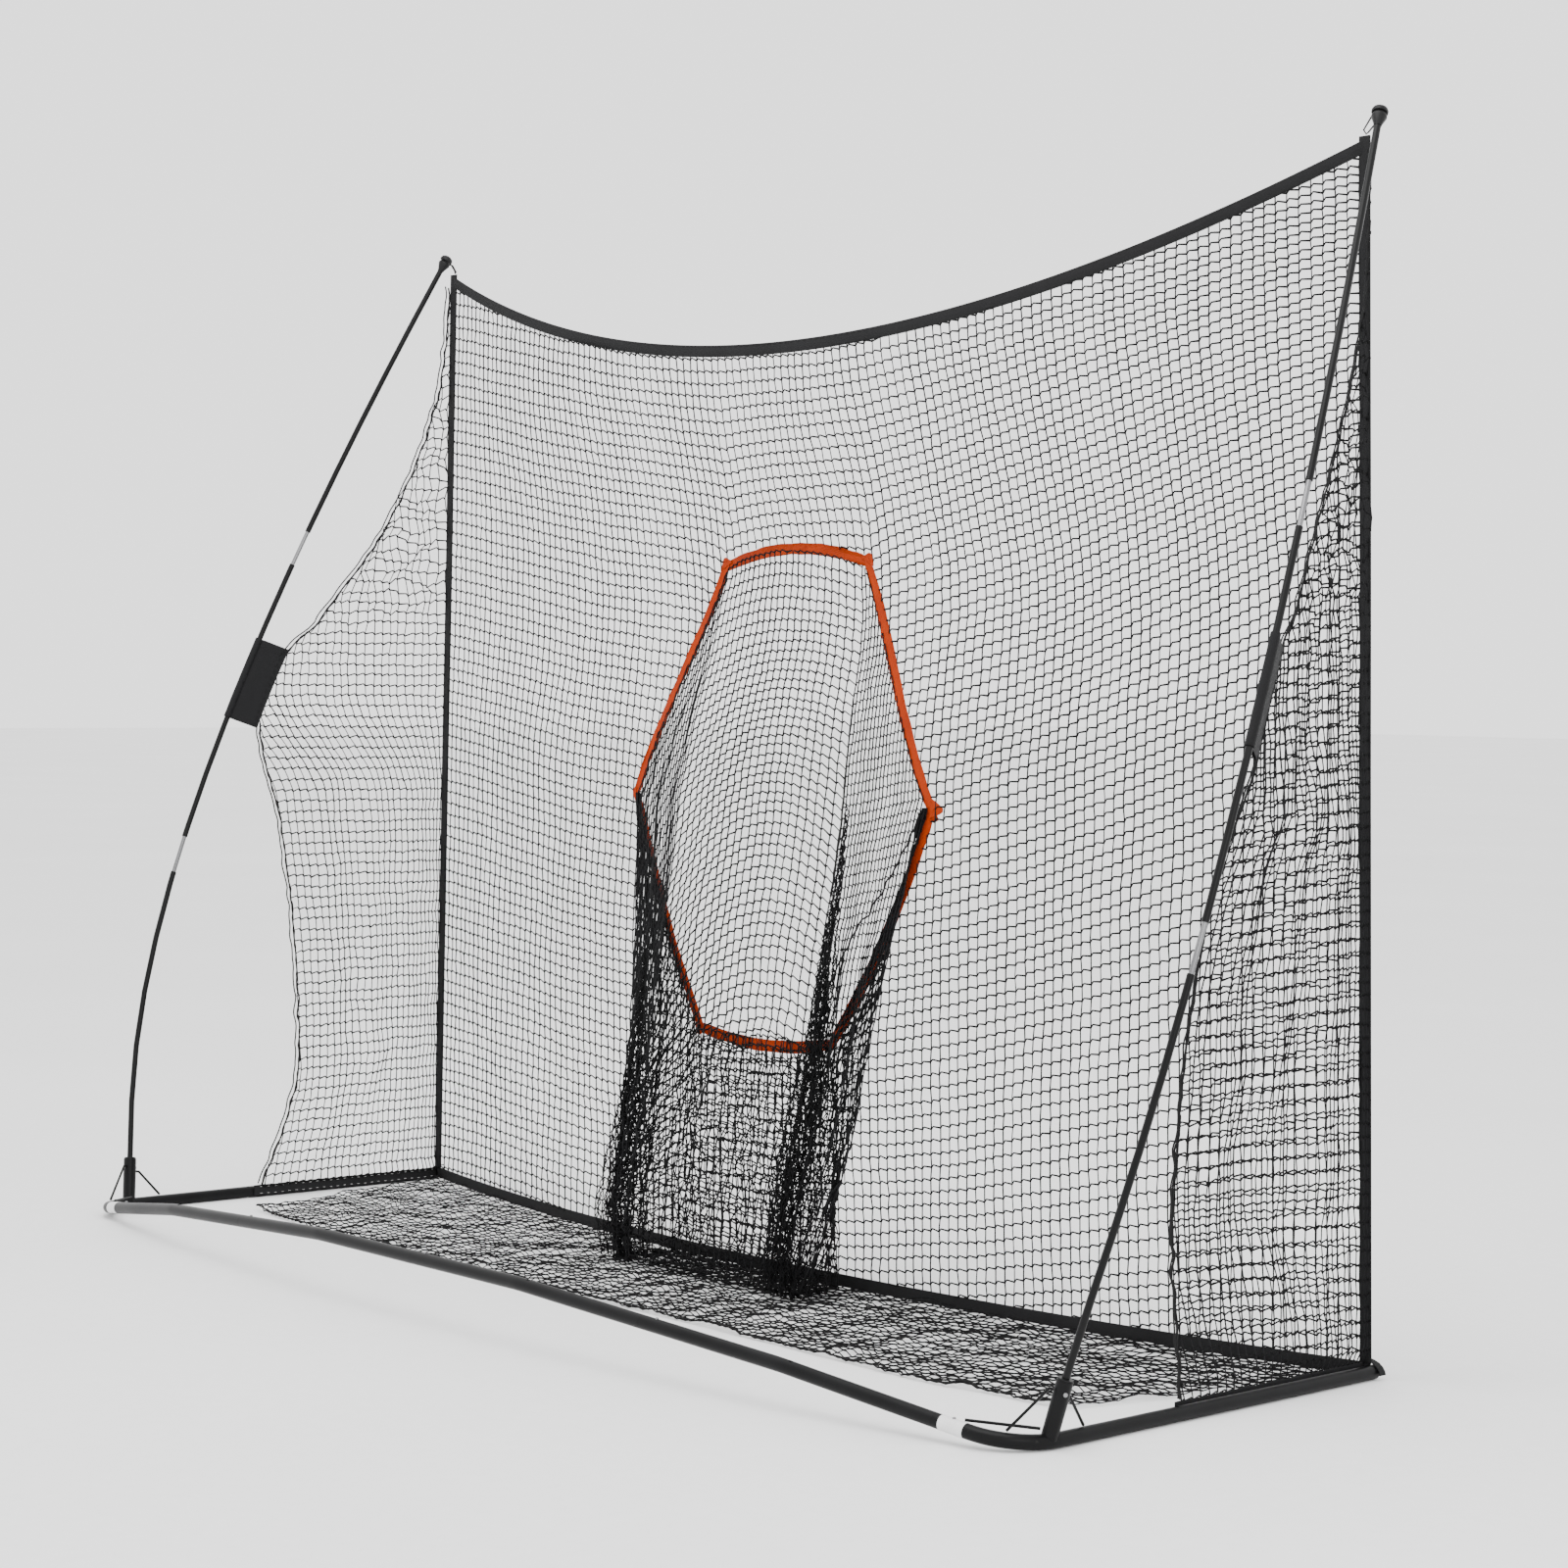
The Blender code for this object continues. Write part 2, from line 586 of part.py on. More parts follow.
def corner_cords():
    """An elastic loop from each knob's groove to the panel's top corner."""
    radius = CORD_DIAMETER / 2
    for side, word in ((-1, "left"), (1, "right")):
        groove = pole_point(side, POLE_LENGTH) + side_of(TIP_DIRECTION, side) * (0.0255 + GAP)
        foot = Vector((side * (TOP_HALF - STRAP_WIDTH / 2), 0.0, NET_HEIGHT + 0.004))
        axis = side_of(TIP_DIRECTION, side)
        down = foot - groove
        flat = (down - axis * down.dot(axis)).normalized()
        across = axis.cross(flat).normalized()
        wrap = CAP_RADIUS * 0.58 + radius + GAP
        points = []
        for i in range(9):
            turn = math.radians(80 + 200 * i / 8)
            points.append(groove + (flat * math.cos(turn) + across * math.sin(turn)) * wrap)
        lip = groove + flat * (CAP_RADIUS + radius + 0.003)
        points.append(lip - across * 0.007)
        points.append(foot - across * 0.005 + UP * 0.006)
        points.append(foot + UP * (radius - 0.001))
        points.append(foot + across * 0.005 + UP * 0.006)
        points.append(lip + across * 0.007)
        bm = bmesh.new()
        closed = [points[-1]] + points + [points[0]]
        frames = path_frames(closed, axis)[1:-1]
        loops = [add_ring(bm, frame, radius, 6) for frame in frames]
        bridge(bm, loops + loops[:1])
        add_object(f"corner_cord_{word}", bm, "cord_black")


# The netting panel's surface
def mix_along(table, value):
    for (low, a), (high, b) in zip(table, table[1:]):
        if value <= high:
            t = max(0.0, (value - low) / (high - low))
            t = t * t * (3 - 2 * t)
            return a * (1 - t) + b * t
    return table[-1][1]


def panel_half(z):
    """Half the panel's width at a height."""
    return ARM_FRONT.x - TOP_TAPER * z / NET_HEIGHT


def panel_y(x, z):
    """The panel bows back between its straight side edges."""
    return -mix_along(BOW, z) * (1 - min(1.0, (x / panel_half(z)) ** 2))


def top_edge(x):
    return NET_HEIGHT - TOP_SAG * (1 - min(1.0, (x / TOP_HALF) ** 2))


BOTTOM_EDGE = 0.004
SIDE_STRAP_FOOT = TUBE_OD + ARM_CAP_LIP * 0.6


def straps():
    half_gap = NET_INSET / 2
    inner = TOP_HALF - STRAP_WIDTH - half_gap

    def top(u, v):
        x = (2 * u - 1) * inner
        z = top_edge(x) - STRAP_WIDTH * (1 - v)
        return Vector((x, panel_y(x, z), z))

    def bottom(u, v):
        x = (2 * u - 1) * (panel_half(0) - STRAP_WIDTH - half_gap)
        z = BOTTOM_EDGE + STRAP_WIDTH * v
        return Vector((x, panel_y(x, z), z))

    sheet("top_strap", 24, 1, top, STRAP_THICKNESS, "webbing")
    sheet("bottom_strap", 20, 1, bottom, STRAP_THICKNESS, "webbing")
    for side, word in ((-1, "left"), (1, "right")):
        def upright(u, v, side=side):
            z = SIDE_STRAP_FOOT + (NET_HEIGHT - SIDE_STRAP_FOOT) * v
            x = panel_half(z) - STRAP_WIDTH * (1 - u)
            return Vector((side * x, panel_y(x, z), z))

        def along_arm(u, v, side=side):
            beyond = 0.012
            y = -SIDE_ARM_REACH + (SIDE_ARM_REACH - beyond) * u
            x = arm_x(y) - R - STRAP_THICKNESS / 2 - GAP - 0.0002
            return Vector((side * x, y, BOTTOM_EDGE + STRAP_WIDTH * v))

        sheet(f"side_strap_{word}", 1, 8, upright, STRAP_THICKNESS, "webbing")
        sheet(f"arm_strap_{word}", 6, 1, along_arm, STRAP_THICKNESS, "webbing")


def arm_x(y):
    return CORNER.x + (ARM_FRONT.x - CORNER.x) * (y - CORNER.y) / (ARM_FRONT.y - CORNER.y)


# Target ring, pocket and nets
RING_STEPS = 6


def ring_corners(grow):
    """The target's six corners as (x, z), from the top edge's -X end towards +X, moved out by grow."""
    top, middle, bottom = RING_HALF_WIDTHS
    high, centre, low = RING_HEIGHTS
    spots = ((-top, high), (top, high), (middle, centre), (bottom, low), (-bottom, low), (-middle, centre))
    corners = [Vector(spot) for spot in spots]
    moved = []
    for i, corner in enumerate(corners):
        before, after = corners[i - 1], corners[(i + 1) % 6]
        one, two = (corner - before).normalized(), (after - corner).normalized()
        normals = Vector((-one.y, one.x)), Vector((-two.y, two.x))
        moved.append(corner + (normals[0] + normals[1]) * grow / (1 + normals[0].dot(normals[1])))
    return moved


def ring_points(grow):
    """RING_STEPS points on each edge; the top edge is slightly arched."""
    corners = ring_corners(grow)
    points = []
    for i, corner in enumerate(corners):
        after = corners[(i + 1) % 6]
        for k in range(RING_STEPS):
            t = k / RING_STEPS
            x, z = corner.lerp(after, t)
            points.append((x, z + (RING_TOP_ARCH * 4 * t * (1 - t) if i == 0 else 0.0)))
    return points


def on_panel(x, z, back=0.0):
    return Vector((x, panel_y(x, z) - back, z))


def target_ring():
    bm = bmesh.new()
    half = STRAP_WIDTH / 2
    bridge(bm, [add_loop(bm, [on_panel(x, z) for x, z in ring_points(grow)]) for grow in (-half, half)])
    thicken(add_object("target_ring", bm, "orange_tape"), STRAP_THICKNESS)


def outer_outline():
    """Points of the panel net's outer edge, one for each point of the target's outline."""
    inset = STRAP_WIDTH + NET_INSET
    points = []
    for x, z in ring_points(STRAP_WIDTH / 2):
        across = x / RING_HALF_WIDTHS[1]
        up = (z - RING_HEIGHTS[1]) / (RING_HEIGHTS[0] - RING_HEIGHTS[1])
        size = max(abs(across), abs(up))
        across, up = across / size, up / size
        span = panel_half(RING_HEIGHTS[1]) - inset
        reach = across * span
        if up >= 1.0 - 1e-6 or up <= -1.0 + 1e-6:
            reach = min(max(reach, -span), span)
        low = BOTTOM_EDGE + inset
        high = top_edge(reach) - inset - TOP_CHORD
        height = low + (high - low) * (up + 1) / 2
        width = panel_half(height) - inset
        points.append((max(-width, min(width, reach * width / span)), height))
    low, high = BOTTOM_EDGE + inset, top_edge(TOP_HALF - inset) - inset - TOP_CHORD
    for height in (low, high):
        for sign in (-1, 1):
            corner = Vector((sign * (panel_half(height) - inset), height))
            nearest = min(range(len(points)), key=lambda i: (Vector(points[i]) - corner).length)
            points[nearest] = tuple(corner)
    return points


def main_net():
    """The panel between its straps, with the target's hole."""
    hole = ring_points(STRAP_WIDTH / 2 + NET_INSET)
    edge = outer_outline()
    bm = bmesh.new()
    loops = []
    for t in (0.0, 0.16, 0.4, 0.7, 1.0):
        loops.append(add_loop(bm, [on_panel(a[0] + (b[0] - a[0]) * t, a[1] + (b[1] - a[1]) * t)
                                   for a, b in zip(hole, edge)]))
    bridge(bm, loops)
    thicken(add_object("main_net", bm, "netting"), NET_THICKNESS)


def pocket_foot():
    """Where each point of the target's outline comes down to, at the pocket's foot."""
    wide, narrow = POCKET_HALF_WIDTH, POCKET_HALF_WIDTH * 0.88
    marks = [(-wide / 2, POCKET_FRONT), (wide / 2, POCKET_FRONT), (wide, POCKET_FRONT - 0.03),
             (narrow, POCKET_BACK), (-narrow, POCKET_BACK), (-wide, POCKET_FRONT - 0.03)]
    points = []
    for i, mark in enumerate(marks):
        after = marks[(i + 1) % 6]
        for k in range(RING_STEPS):
            t = k / RING_STEPS
            points.append(Vector((mark[0] + (after[0] - mark[0]) * t, -(mark[1] + (after[1] - mark[1]) * t),
                                  POCKET_FLOOR)))
    return points


def pocket():
    """A bag behind the target: its rear sheet falls from the ring's top, its front sheet from the bottom."""
    behind = STRAP_THICKNESS / 2 + NET_THICKNESS / 2 + 3 * GAP
    mouth = [on_panel(x, z, behind) for x, z in ring_points(0.0)]
    foot = pocket_foot()
    bm = bmesh.new()
    loops = []
    for t in (0.0, 0.12, 0.3, 0.5, 0.7, 0.86, 0.96):
        swell = POCKET_BULGE * math.sin(math.pi * t)
        points = []
        for i, (high, low) in enumerate(zip(mouth, foot)):
            lower_edge = 3 * RING_STEPS <= i <= 4 * RING_STEPS
            points.append(high.lerp(low, t) - Vector((0, swell * (0.2 if lower_edge else 1.0), 0)))
        loops.append(add_loop(bm, points))
    middle = sum(foot, Vector((0, 0, 0))) / len(foot)
    loops.append(add_loop(bm, [middle.lerp(low, 0.93) for low in foot]))
    loops.append(add_loop(bm, [middle.lerp(low, 0.5) for low in foot]))
    bridge(bm, loops)
    close_end(bm, loops[-1])
    thicken(add_object("target_pocket", bm, "netting"), NET_THICKNESS)


SLEEVE_TAIL = Vector((-0.5, 0.8, -0.35)).normalized()


def sleeve_edge(side, at):
    return pole_point(side, at) + side_of(SLEEVE_TAIL, side) * SLEEVE_FLAP


def pole_sleeves():
    """A band of fabric folded round each pole, its two layers closed into a flap towards the panel."""
    inner = POLE_OD / 2 + SLEEVE_LOOSE
    outer = inner + SLEEVE_THICKNESS
    half = SLEEVE_THICKNESS
    rounds = 11
    for side, word in ((-1, "left"), (1, "right")):
        centres = pole_run(side, SLEEVE_LOW, SLEEVE_HIGH, 4)
        tail = side_of(SLEEVE_TAIL, side)
        bm = bmesh.new()
        skins, bores = [], []
        for i, centre in enumerate(centres):
            ahead = (centres[min(i + 1, 4)] - centres[max(i - 1, 0)]).normalized()
            out = (tail - ahead * tail.dot(ahead)).normalized()
            across = ahead.cross(out)
            start = math.asin(half / outer)
            skin = [out * SLEEVE_FLAP + across * half]
            bore = [out * inner * math.cos(0.12) + across * inner * math.sin(0.12)]
            for k in range(rounds + 1):
                turn = start + (2 * math.pi - 2 * start) * k / rounds
                skin.append(out * math.cos(turn) * outer + across * math.sin(turn) * outer)
                wide = 0.3 + (2 * math.pi - 0.6) * k / rounds
                bore.append(out * math.cos(wide) * inner + across * math.sin(wide) * inner)
            skin.append(out * SLEEVE_FLAP - across * half)
            bore.append(out * inner * math.cos(0.12) - across * inner * math.sin(0.12))
            skins.append(add_loop(bm, [centre + p for p in skin]))
            bores.append(add_loop(bm, [centre + p for p in bore]))
        bridge(bm, skins + bores[::-1] + skins[:1])
        add_object(f"pole_sleeve_{word}", bm, "sleeve_fabric")


def side_nets():
    """Each side net runs from the panel's edge to the pole's sleeve and to the strap along the arm."""
    clear = STRAP_THICKNESS / 2 + NET_THICKNESS / 2 + NET_INSET
    inside = R + STRAP_THICKNESS / 2 + 2 * GAP
    foot_y = -SIDE_ARM_REACH + 0.02
    foot_z = BOTTOM_EDGE + STRAP_WIDTH + 0.002
    for side, word in ((-1, "left"), (1, "right")):
        top = on_panel(panel_half(SIDE_TOP) - 0.002, SIDE_TOP, clear)
        flap_high = side_of(sleeve_edge(side, SLEEVE_HIGH), side) + SLEEVE_TAIL * 0.004
        flap_low = side_of(sleeve_edge(side, SLEEVE_LOW), side) + SLEEVE_TAIL * 0.004
        foot = Vector((arm_x(foot_y) - inside, foot_y, foot_z))
        edge = [foot, foot + Vector((-0.05, 0.05, 0.27)), foot + Vector((-0.01, 0.053, 0.67)), flap_low,
                flap_high, top.lerp(flap_high, 0.5) - Vector((0.02, 0.0, 0.02)), top.lerp(flap_high, 0.06)]
        panel = [on_panel(arm_x(0.0) - inside, foot_z, clear)]
        panel += [on_panel(panel_half(z) - 0.002, z, clear) for z in (0.32, 0.72, 1.10, 1.36, 1.62)] + [top]

        def place(u, v, panel=panel, edge=edge, side=side):
            i = min(round(v * 6), 6)
            point = panel[i].lerp(edge[i], u)
            if i == 0:
                point.x = arm_x(point.y) - inside
            return side_of(point, side)

        sheet(f"side_net_{word}", 5, 6, place, NET_THICKNESS, "netting")


def floor_net():
    """Netting on the ground between the arms, from the bottom strap to its free rear edge."""
    corner_x, corner_y = FLOOR_CORNER
    inside = R + STRAP_THICKNESS + 0.003

    def place(u, v):
        across = 2 * u - 1
        front_half = panel_half(0) - 0.03
        x_front = across * front_half
        y_front = panel_y(x_front, 0) - STRAP_THICKNESS - 0.004
        x_rear = across * corner_x
        lean = min(1.0, (1 - abs(across)) / 0.25)
        y_rear = -(corner_y + (FLOOR_REACH - corner_y) * lean)
        x = x_front + (x_rear - x_front) * v
        y = y_front + (y_rear - y_front) * v
        limit = arm_x(y) - inside
        return Vector((max(-limit, min(limit, x)), y, NET_THICKNESS / 2))

    sheet("floor_net", 20, 3, place, NET_THICKNESS, "netting")


LOOKS = {}


def make_looks():
    LOOKS["frame_paint"] = make_material("frame_paint", (0.035, 0.036, 0.038), 0.32, 0.4)
    LOOKS["pole_black"] = make_material("pole_black", (0.02, 0.02, 0.021), 0.35)
    LOOKS["bright_steel"] = make_material("bright_steel", (0.62, 0.62, 0.63), 0.28, 1.0)
    LOOKS["black_plastic"] = make_material("black_plastic", (0.018, 0.018, 0.019), 0.4)
    LOOKS["webbing"] = make_material("webbing", (0.035, 0.035, 0.036), 0.8)
    LOOKS["netting"] = make_material("netting", (0.012, 0.012, 0.013), 0.75)
    LOOKS["orange_tape"] = make_material("orange_tape", (0.75, 0.13, 0.05), 0.7)
    LOOKS["sleeve_fabric"] = make_material("sleeve_fabric", (0.03, 0.03, 0.032), 0.7)
    LOOKS["cord_black"] = make_material("cord_black", (0.015, 0.015, 0.016), 0.7)


def main():
    clear_scene()
    make_looks()
    origin = bpy.data.objects.new("net_origin", None)
    origin.location = (0.0, ORIGIN_Y, 0.0)
    bpy.context.scene.collection.objects.link(origin)
    base_frame()
    arm_caps()
    sockets()
    poles()
    corner_cords()
    straps()
    target_ring()
    main_net()
    pocket()
    pole_sleeves()
    side_nets()
    floor_net()


main()
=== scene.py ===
import math
import random

import bmesh
import bpy
from mathutils import Matrix, Vector, noise


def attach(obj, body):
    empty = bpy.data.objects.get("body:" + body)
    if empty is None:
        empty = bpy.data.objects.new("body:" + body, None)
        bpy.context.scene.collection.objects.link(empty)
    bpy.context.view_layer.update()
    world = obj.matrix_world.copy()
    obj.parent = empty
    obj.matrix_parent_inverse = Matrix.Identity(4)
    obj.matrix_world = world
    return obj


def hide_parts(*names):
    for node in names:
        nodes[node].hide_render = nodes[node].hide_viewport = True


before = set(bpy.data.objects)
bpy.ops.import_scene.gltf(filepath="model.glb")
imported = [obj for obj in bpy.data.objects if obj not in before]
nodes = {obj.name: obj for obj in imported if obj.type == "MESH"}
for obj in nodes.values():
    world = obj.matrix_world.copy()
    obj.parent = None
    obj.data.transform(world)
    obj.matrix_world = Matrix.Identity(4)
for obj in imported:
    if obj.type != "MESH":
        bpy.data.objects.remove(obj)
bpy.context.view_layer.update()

BODY = "frame"

# The panel hangs in the plane y = 0 of this script; every finished piece is then moved by PANEL_Y
PANEL_Y = 0.52904
NET_HEIGHT, TOP_SAG, FRONT_HALF, TOP_TAPER = 2.215, 0.273, 1.4712, 0.036
TOP_HALF = FRONT_HALF - TOP_TAPER
STRAP = 0.025
MAIN_MESH, SIDE_MESH = 0.0248, 0.0252       # from one row of knots to the next
KNOT = 1.3                                  # how much thicker a knot is than its twine
BOW = ((0.0, 0.182), (0.5, 0.189), (1.0, 0.178), (1.5, 0.114), (1.95, 0.148), (2.25, 0.15))
CORNER_X, BASE_DEPTH, ARM_TOE_IN, TUBE_R = 1.4992, 0.915, 0.028, 0.0127
RING_X, RING_Z, RING_ARCH = (0.226, 0.473, 0.212), (1.477, 0.984, 0.494), 0.033
RING_BOWS = (RING_ARCH, 0.0, 0.022, 0.020, 0.014, 0.0)      # how far each edge bows out, from the top round
SOCKET_TOP, SOCKET_LEAN = Vector((1.5166, -0.8229, 0.1132)), Vector((0.2172, 0.1448, 0.9653))
POLE_TIP, TIP_ALONG = Vector((1.4622, -0.0170, 2.2270)), Vector((-0.1836, 0.4309, 0.8835))
POLE_R = 0.00635
SLEEVE = (1.079, 1.283)                      # along the pole, from its socket
SLEEVE_LOW_Z, SLEEVE_HIGH_Z = 1.125, 1.27
FLAP = Vector((-0.5, 0.8, -0.35)).normalized() * 0.075
UP, AHEAD = Vector((0, 0, 1)), Vector((0, 1, 0))
random.seed(7)


# ---------- camera ----------
def place_camera():
    lens = bpy.data.cameras.new("studio_camera")
    lens.sensor_width, lens.sensor_fit, lens.lens = 36.0, "HORIZONTAL", 75.53
    lens.shift_y = -0.0425
    lens.clip_end = 200
    camera = bpy.data.objects.new("studio_camera", lens)
    forward = Vector((-0.7619, 0.6476, -0.0118)).normalized()
    right = forward.cross(UP).normalized()
    up = right.cross(forward)
    tilt = Matrix.Rotation(math.radians(-0.55), 3, forward)
    right, up = tilt @ right, tilt @ up
    turn = Matrix((right, up, -forward)).transposed().to_4x4()
    camera.matrix_world = Matrix.Translation((5.2394, -4.5946 + PANEL_Y, 1.2377)) @ turn
    bpy.context.scene.collection.objects.link(camera)
    bpy.context.scene.camera = camera


place_camera()


# ---------- finishes ----------
def group(name, takes, gives):
    tree = bpy.data.node_groups.new(name, "ShaderNodeTree")
    for word, kind, value in takes:
        socket = tree.interface.new_socket(name=word, in_out="INPUT", socket_type="NodeSocket" + kind)
        if value is not None:
            socket.default_value = value
    for word, kind in gives:
        tree.interface.new_socket(name=word, in_out="OUTPUT", socket_type="NodeSocket" + kind)
    return tree, tree.nodes.new("NodeGroupInput"), tree.nodes.new("NodeGroupOutput")


def node(tree, kind, **settings):
    made = tree.nodes.new("ShaderNode" + kind)
    for word, value in settings.items():
        setattr(made, word, value)
    return made


def maths(tree, operation, first, second=None):
    made = node(tree, "Math", operation=operation)
    for socket, value in zip(made.inputs, (first, second)):
        if value is None:
            continue
        if isinstance(value, (int, float)):
            socket.default_value = value
        else:
            tree.links.new(value, socket)
    return made.outputs[0]


def blend_colours(tree, factor, one, two):
    mix = node(tree, "Mix", data_type="RGBA")
    tree.links.new(factor, mix.inputs[0])
    tree.links.new(one, mix.inputs[6])
    tree.links.new(two, mix.inputs[7])
    return mix.outputs[2]


def make_mottle():
    """Two colours mixed by broad patches and fine grain, and a roughness that follows them."""
    takes = (("Vector", "Vector", None), ("Broad", "Float", 6.0), ("Fine", "Float", 180.0),
             ("Dark", "Color", (0, 0, 0, 1)), ("Light", "Color", (1, 1, 1, 1)),
             ("Low", "Float", 0.3), ("High", "Float", 0.5))
    gives = (("Colour", "Color"), ("Roughness", "Float"), ("Height", "Float"))
    tree, given, out = group("mottle", takes, gives)
    broad, fine = node(tree, "TexNoise"), node(tree, "TexNoise")
    for texture, word, detail in ((broad, "Broad", 5), (fine, "Fine", 3)):
        tree.links.new(given.outputs["Vector"], texture.inputs["Vector"])
        tree.links.new(given.outputs[word], texture.inputs["Scale"])
        texture.inputs["Detail"].default_value = detail
    both = maths(tree, "ADD", maths(tree, "MULTIPLY", broad.outputs[0], 0.6),
                 maths(tree, "MULTIPLY", fine.outputs[0], 0.4))
    spread = node(tree, "MapRange")
    tree.links.new(both, spread.inputs[0])
    spread.inputs[1].default_value, spread.inputs[2].default_value = 0.36, 0.64
    tree.links.new(blend_colours(tree, spread.outputs[0], given.outputs["Dark"], given.outputs["Light"]),
                   out.inputs["Colour"])
    rough = node(tree, "MapRange")
    tree.links.new(spread.outputs[0], rough.inputs[0])
    tree.links.new(given.outputs["Low"], rough.inputs[3])
    tree.links.new(given.outputs["High"], rough.inputs[4])
    tree.links.new(rough.outputs[0], out.inputs["Roughness"])
    tree.links.new(fine.outputs[0], out.inputs["Height"])
    return tree


def make_dust():
    """Pale dust and rubbed spots, laid over a colour."""
    takes = (("Vector", "Vector", None), ("Colour", "Color", (0, 0, 0, 1)),
             ("Dust", "Color", (0.3, 0.29, 0.27, 1)), ("Scale", "Float", 40.0), ("Cover", "Float", 0.62))
    tree, given, out = group("dust", takes, (("Colour", "Color"), ("Mask", "Float")))
    spots = node(tree, "TexNoise")
    tree.links.new(given.outputs["Vector"], spots.inputs["Vector"])
    tree.links.new(given.outputs["Scale"], spots.inputs["Scale"])
    spots.inputs["Detail"].default_value = 8
    spots.inputs["Roughness"].default_value = 0.65
    cover = node(tree, "MapRange")
    tree.links.new(spots.outputs[0], cover.inputs[0])
    tree.links.new(given.outputs["Cover"], cover.inputs[1])
    cover.inputs[2].default_value = 0.85
    tree.links.new(blend_colours(tree, cover.outputs[0], given.outputs["Colour"], given.outputs["Dust"]),
                   out.inputs["Colour"])
    tree.links.new(cover.outputs[0], out.inputs["Mask"])
    return tree


def make_weave():
    """Warp and weft along a UV map in metres: a height, and a mask of painted shade for the hollows between
    the yarns.
    """
    takes = (("Vector", "Vector", None), ("Along", "Float", 0.0016), ("Across", "Float", 0.0021),
             ("Slant", "Float", 0.5))
    tree, given, out = group("weave", takes, (("Height", "Float"), ("HollowShade", "Float")))
    parts = node(tree, "SeparateXYZ")
    tree.links.new(given.outputs["Vector"], parts.inputs[0])
    slanted = maths(tree, "ADD", parts.outputs[0], maths(tree, "MULTIPLY", parts.outputs[1],
                                                         given.outputs["Slant"]))
    waves = []
    for value, pitch in ((slanted, "Along"), (parts.outputs[1], "Across")):
        turns = maths(tree, "MULTIPLY", maths(tree, "DIVIDE", value, given.outputs[pitch]), math.pi)
        waves.append(maths(tree, "ABSOLUTE", maths(tree, "SINE", turns)))
    height = maths(tree, "MULTIPLY", waves[0], waves[1])
    tree.links.new(height, out.inputs["Height"])
    # painted shade: where the yarns are low, this mask later darkens the colour
    hollow_shade = node(tree, "MapRange")
    tree.links.new(height, hollow_shade.inputs[0])
    hollow_shade.inputs[1].default_value, hollow_shade.inputs[2].default_value = 0.4, 0.0
    tree.links.new(hollow_shade.outputs[0], out.inputs["HollowShade"])
    return tree


MOTTLE, DUST, WEAVE = make_mottle(), make_dust(), make_weave()


def finish(name, dark, light, low, high, metallic=0.0, broad=6.0, fine=180.0, dust=None, cover=0.62,
           weave=None, bump=0.15, depth=0.0004, stretch=(1, 1, 1), coat=0.0, specular=0.5):
    """A surface finish: mottled colour and roughness, optional dust and weave (the weave paints shade into
    the hollows between the yarns), and relief to match.
    """
    material = bpy.data.materials.new(name)
    material.use_nodes = True
    tree = material.node_tree
    shader = tree.nodes["Principled BSDF"]
    shader.inputs["Metallic"].default_value = metallic
    shader.inputs["Coat Weight"].default_value = coat
    shader.inputs["Specular IOR Level"].default_value = specular
    place = node(tree, "TexCoord")
    mapping = node(tree, "Mapping")
    mapping.inputs["Scale"].default_value = stretch
    tree.links.new(place.outputs["Object"], mapping.inputs["Vector"])
    mottle = node(tree, "Group", node_tree=MOTTLE)
    tree.links.new(mapping.outputs[0], mottle.inputs["Vector"])
    for word, value in (("Broad", broad), ("Fine", fine), ("Dark", (*dark, 1)), ("Light", (*light, 1)),
                        ("Low", low), ("High", high)):
        mottle.inputs[word].default_value = value
    colour, height = mottle.outputs["Colour"], mottle.outputs["Height"]
    if dust:
        powder = node(tree, "Group", node_tree=DUST)
        tree.links.new(mapping.outputs[0], powder.inputs["Vector"])
        tree.links.new(colour, powder.inputs["Colour"])
        powder.inputs["Dust"].default_value = (*dust, 1)
        powder.inputs["Cover"].default_value = cover
        colour = powder.outputs["Colour"]
    if weave:
        cloth = node(tree, "Group", node_tree=WEAVE)
        tree.links.new(place.outputs["UV"], cloth.inputs["Vector"])
        for word, value in zip(("Along", "Across", "Slant"), weave):
            cloth.inputs[word].default_value = value
        # painted shade: the colour is multiplied darker in the hollows between the yarns
        shade = node(tree, "Mix", data_type="RGBA", blend_type="MULTIPLY")
        tree.links.new(cloth.outputs["HollowShade"], shade.inputs[0])
        tree.links.new(colour, shade.inputs[6])
        shade.inputs[7].default_value = (0.45, 0.45, 0.45, 1)
        colour = shade.outputs[2]
        height = maths(tree, "ADD", cloth.outputs["Height"], maths(tree, "MULTIPLY", height, 0.4))
    tree.links.new(colour, shader.inputs["Base Color"])
    tree.links.new(mottle.outputs["Roughness"], shader.inputs["Roughness"])
    relief = node(tree, "Bump")
    relief.inputs["Strength"].default_value = bump
    relief.inputs["Distance"].default_value = depth
    tree.links.new(height, relief.inputs["Height"])
    tree.links.new(relief.outputs[0], shader.inputs["Normal"])
    return material


TUBE = finish("painted_tube", (0.002, 0.002, 0.0022), (0.006, 0.006, 0.0065), 0.28, 0.42, 0.0, 9, 700,
              dust=(0.03, 0.029, 0.028), cover=0.66, bump=0.12, depth=0.0003, coat=0.02, specular=0.11)
POLE = finish("lacquered_pole", (0.0015, 0.0015, 0.0017), (0.005, 0.005, 0.0053), 0.26, 0.38, 0.0, 7, 900,
              stretch=(1, 1, 0.15), bump=0.1, depth=0.0002, coat=0.03, specular=0.14)
STEEL = finish("drawn_steel", (0.13, 0.13, 0.135), (0.28, 0.28, 0.285), 0.20, 0.36, 1.0, 14, 1500,
               stretch=(1, 1, 0.06), bump=0.2, depth=0.0002)
PLASTIC = finish("moulded_plastic", (0.004, 0.004, 0.0045), (0.009, 0.009, 0.0095), 0.34, 0.52, 0.0, 12, 1200,
                 bump=0.25, depth=0.0002, specular=0.18)
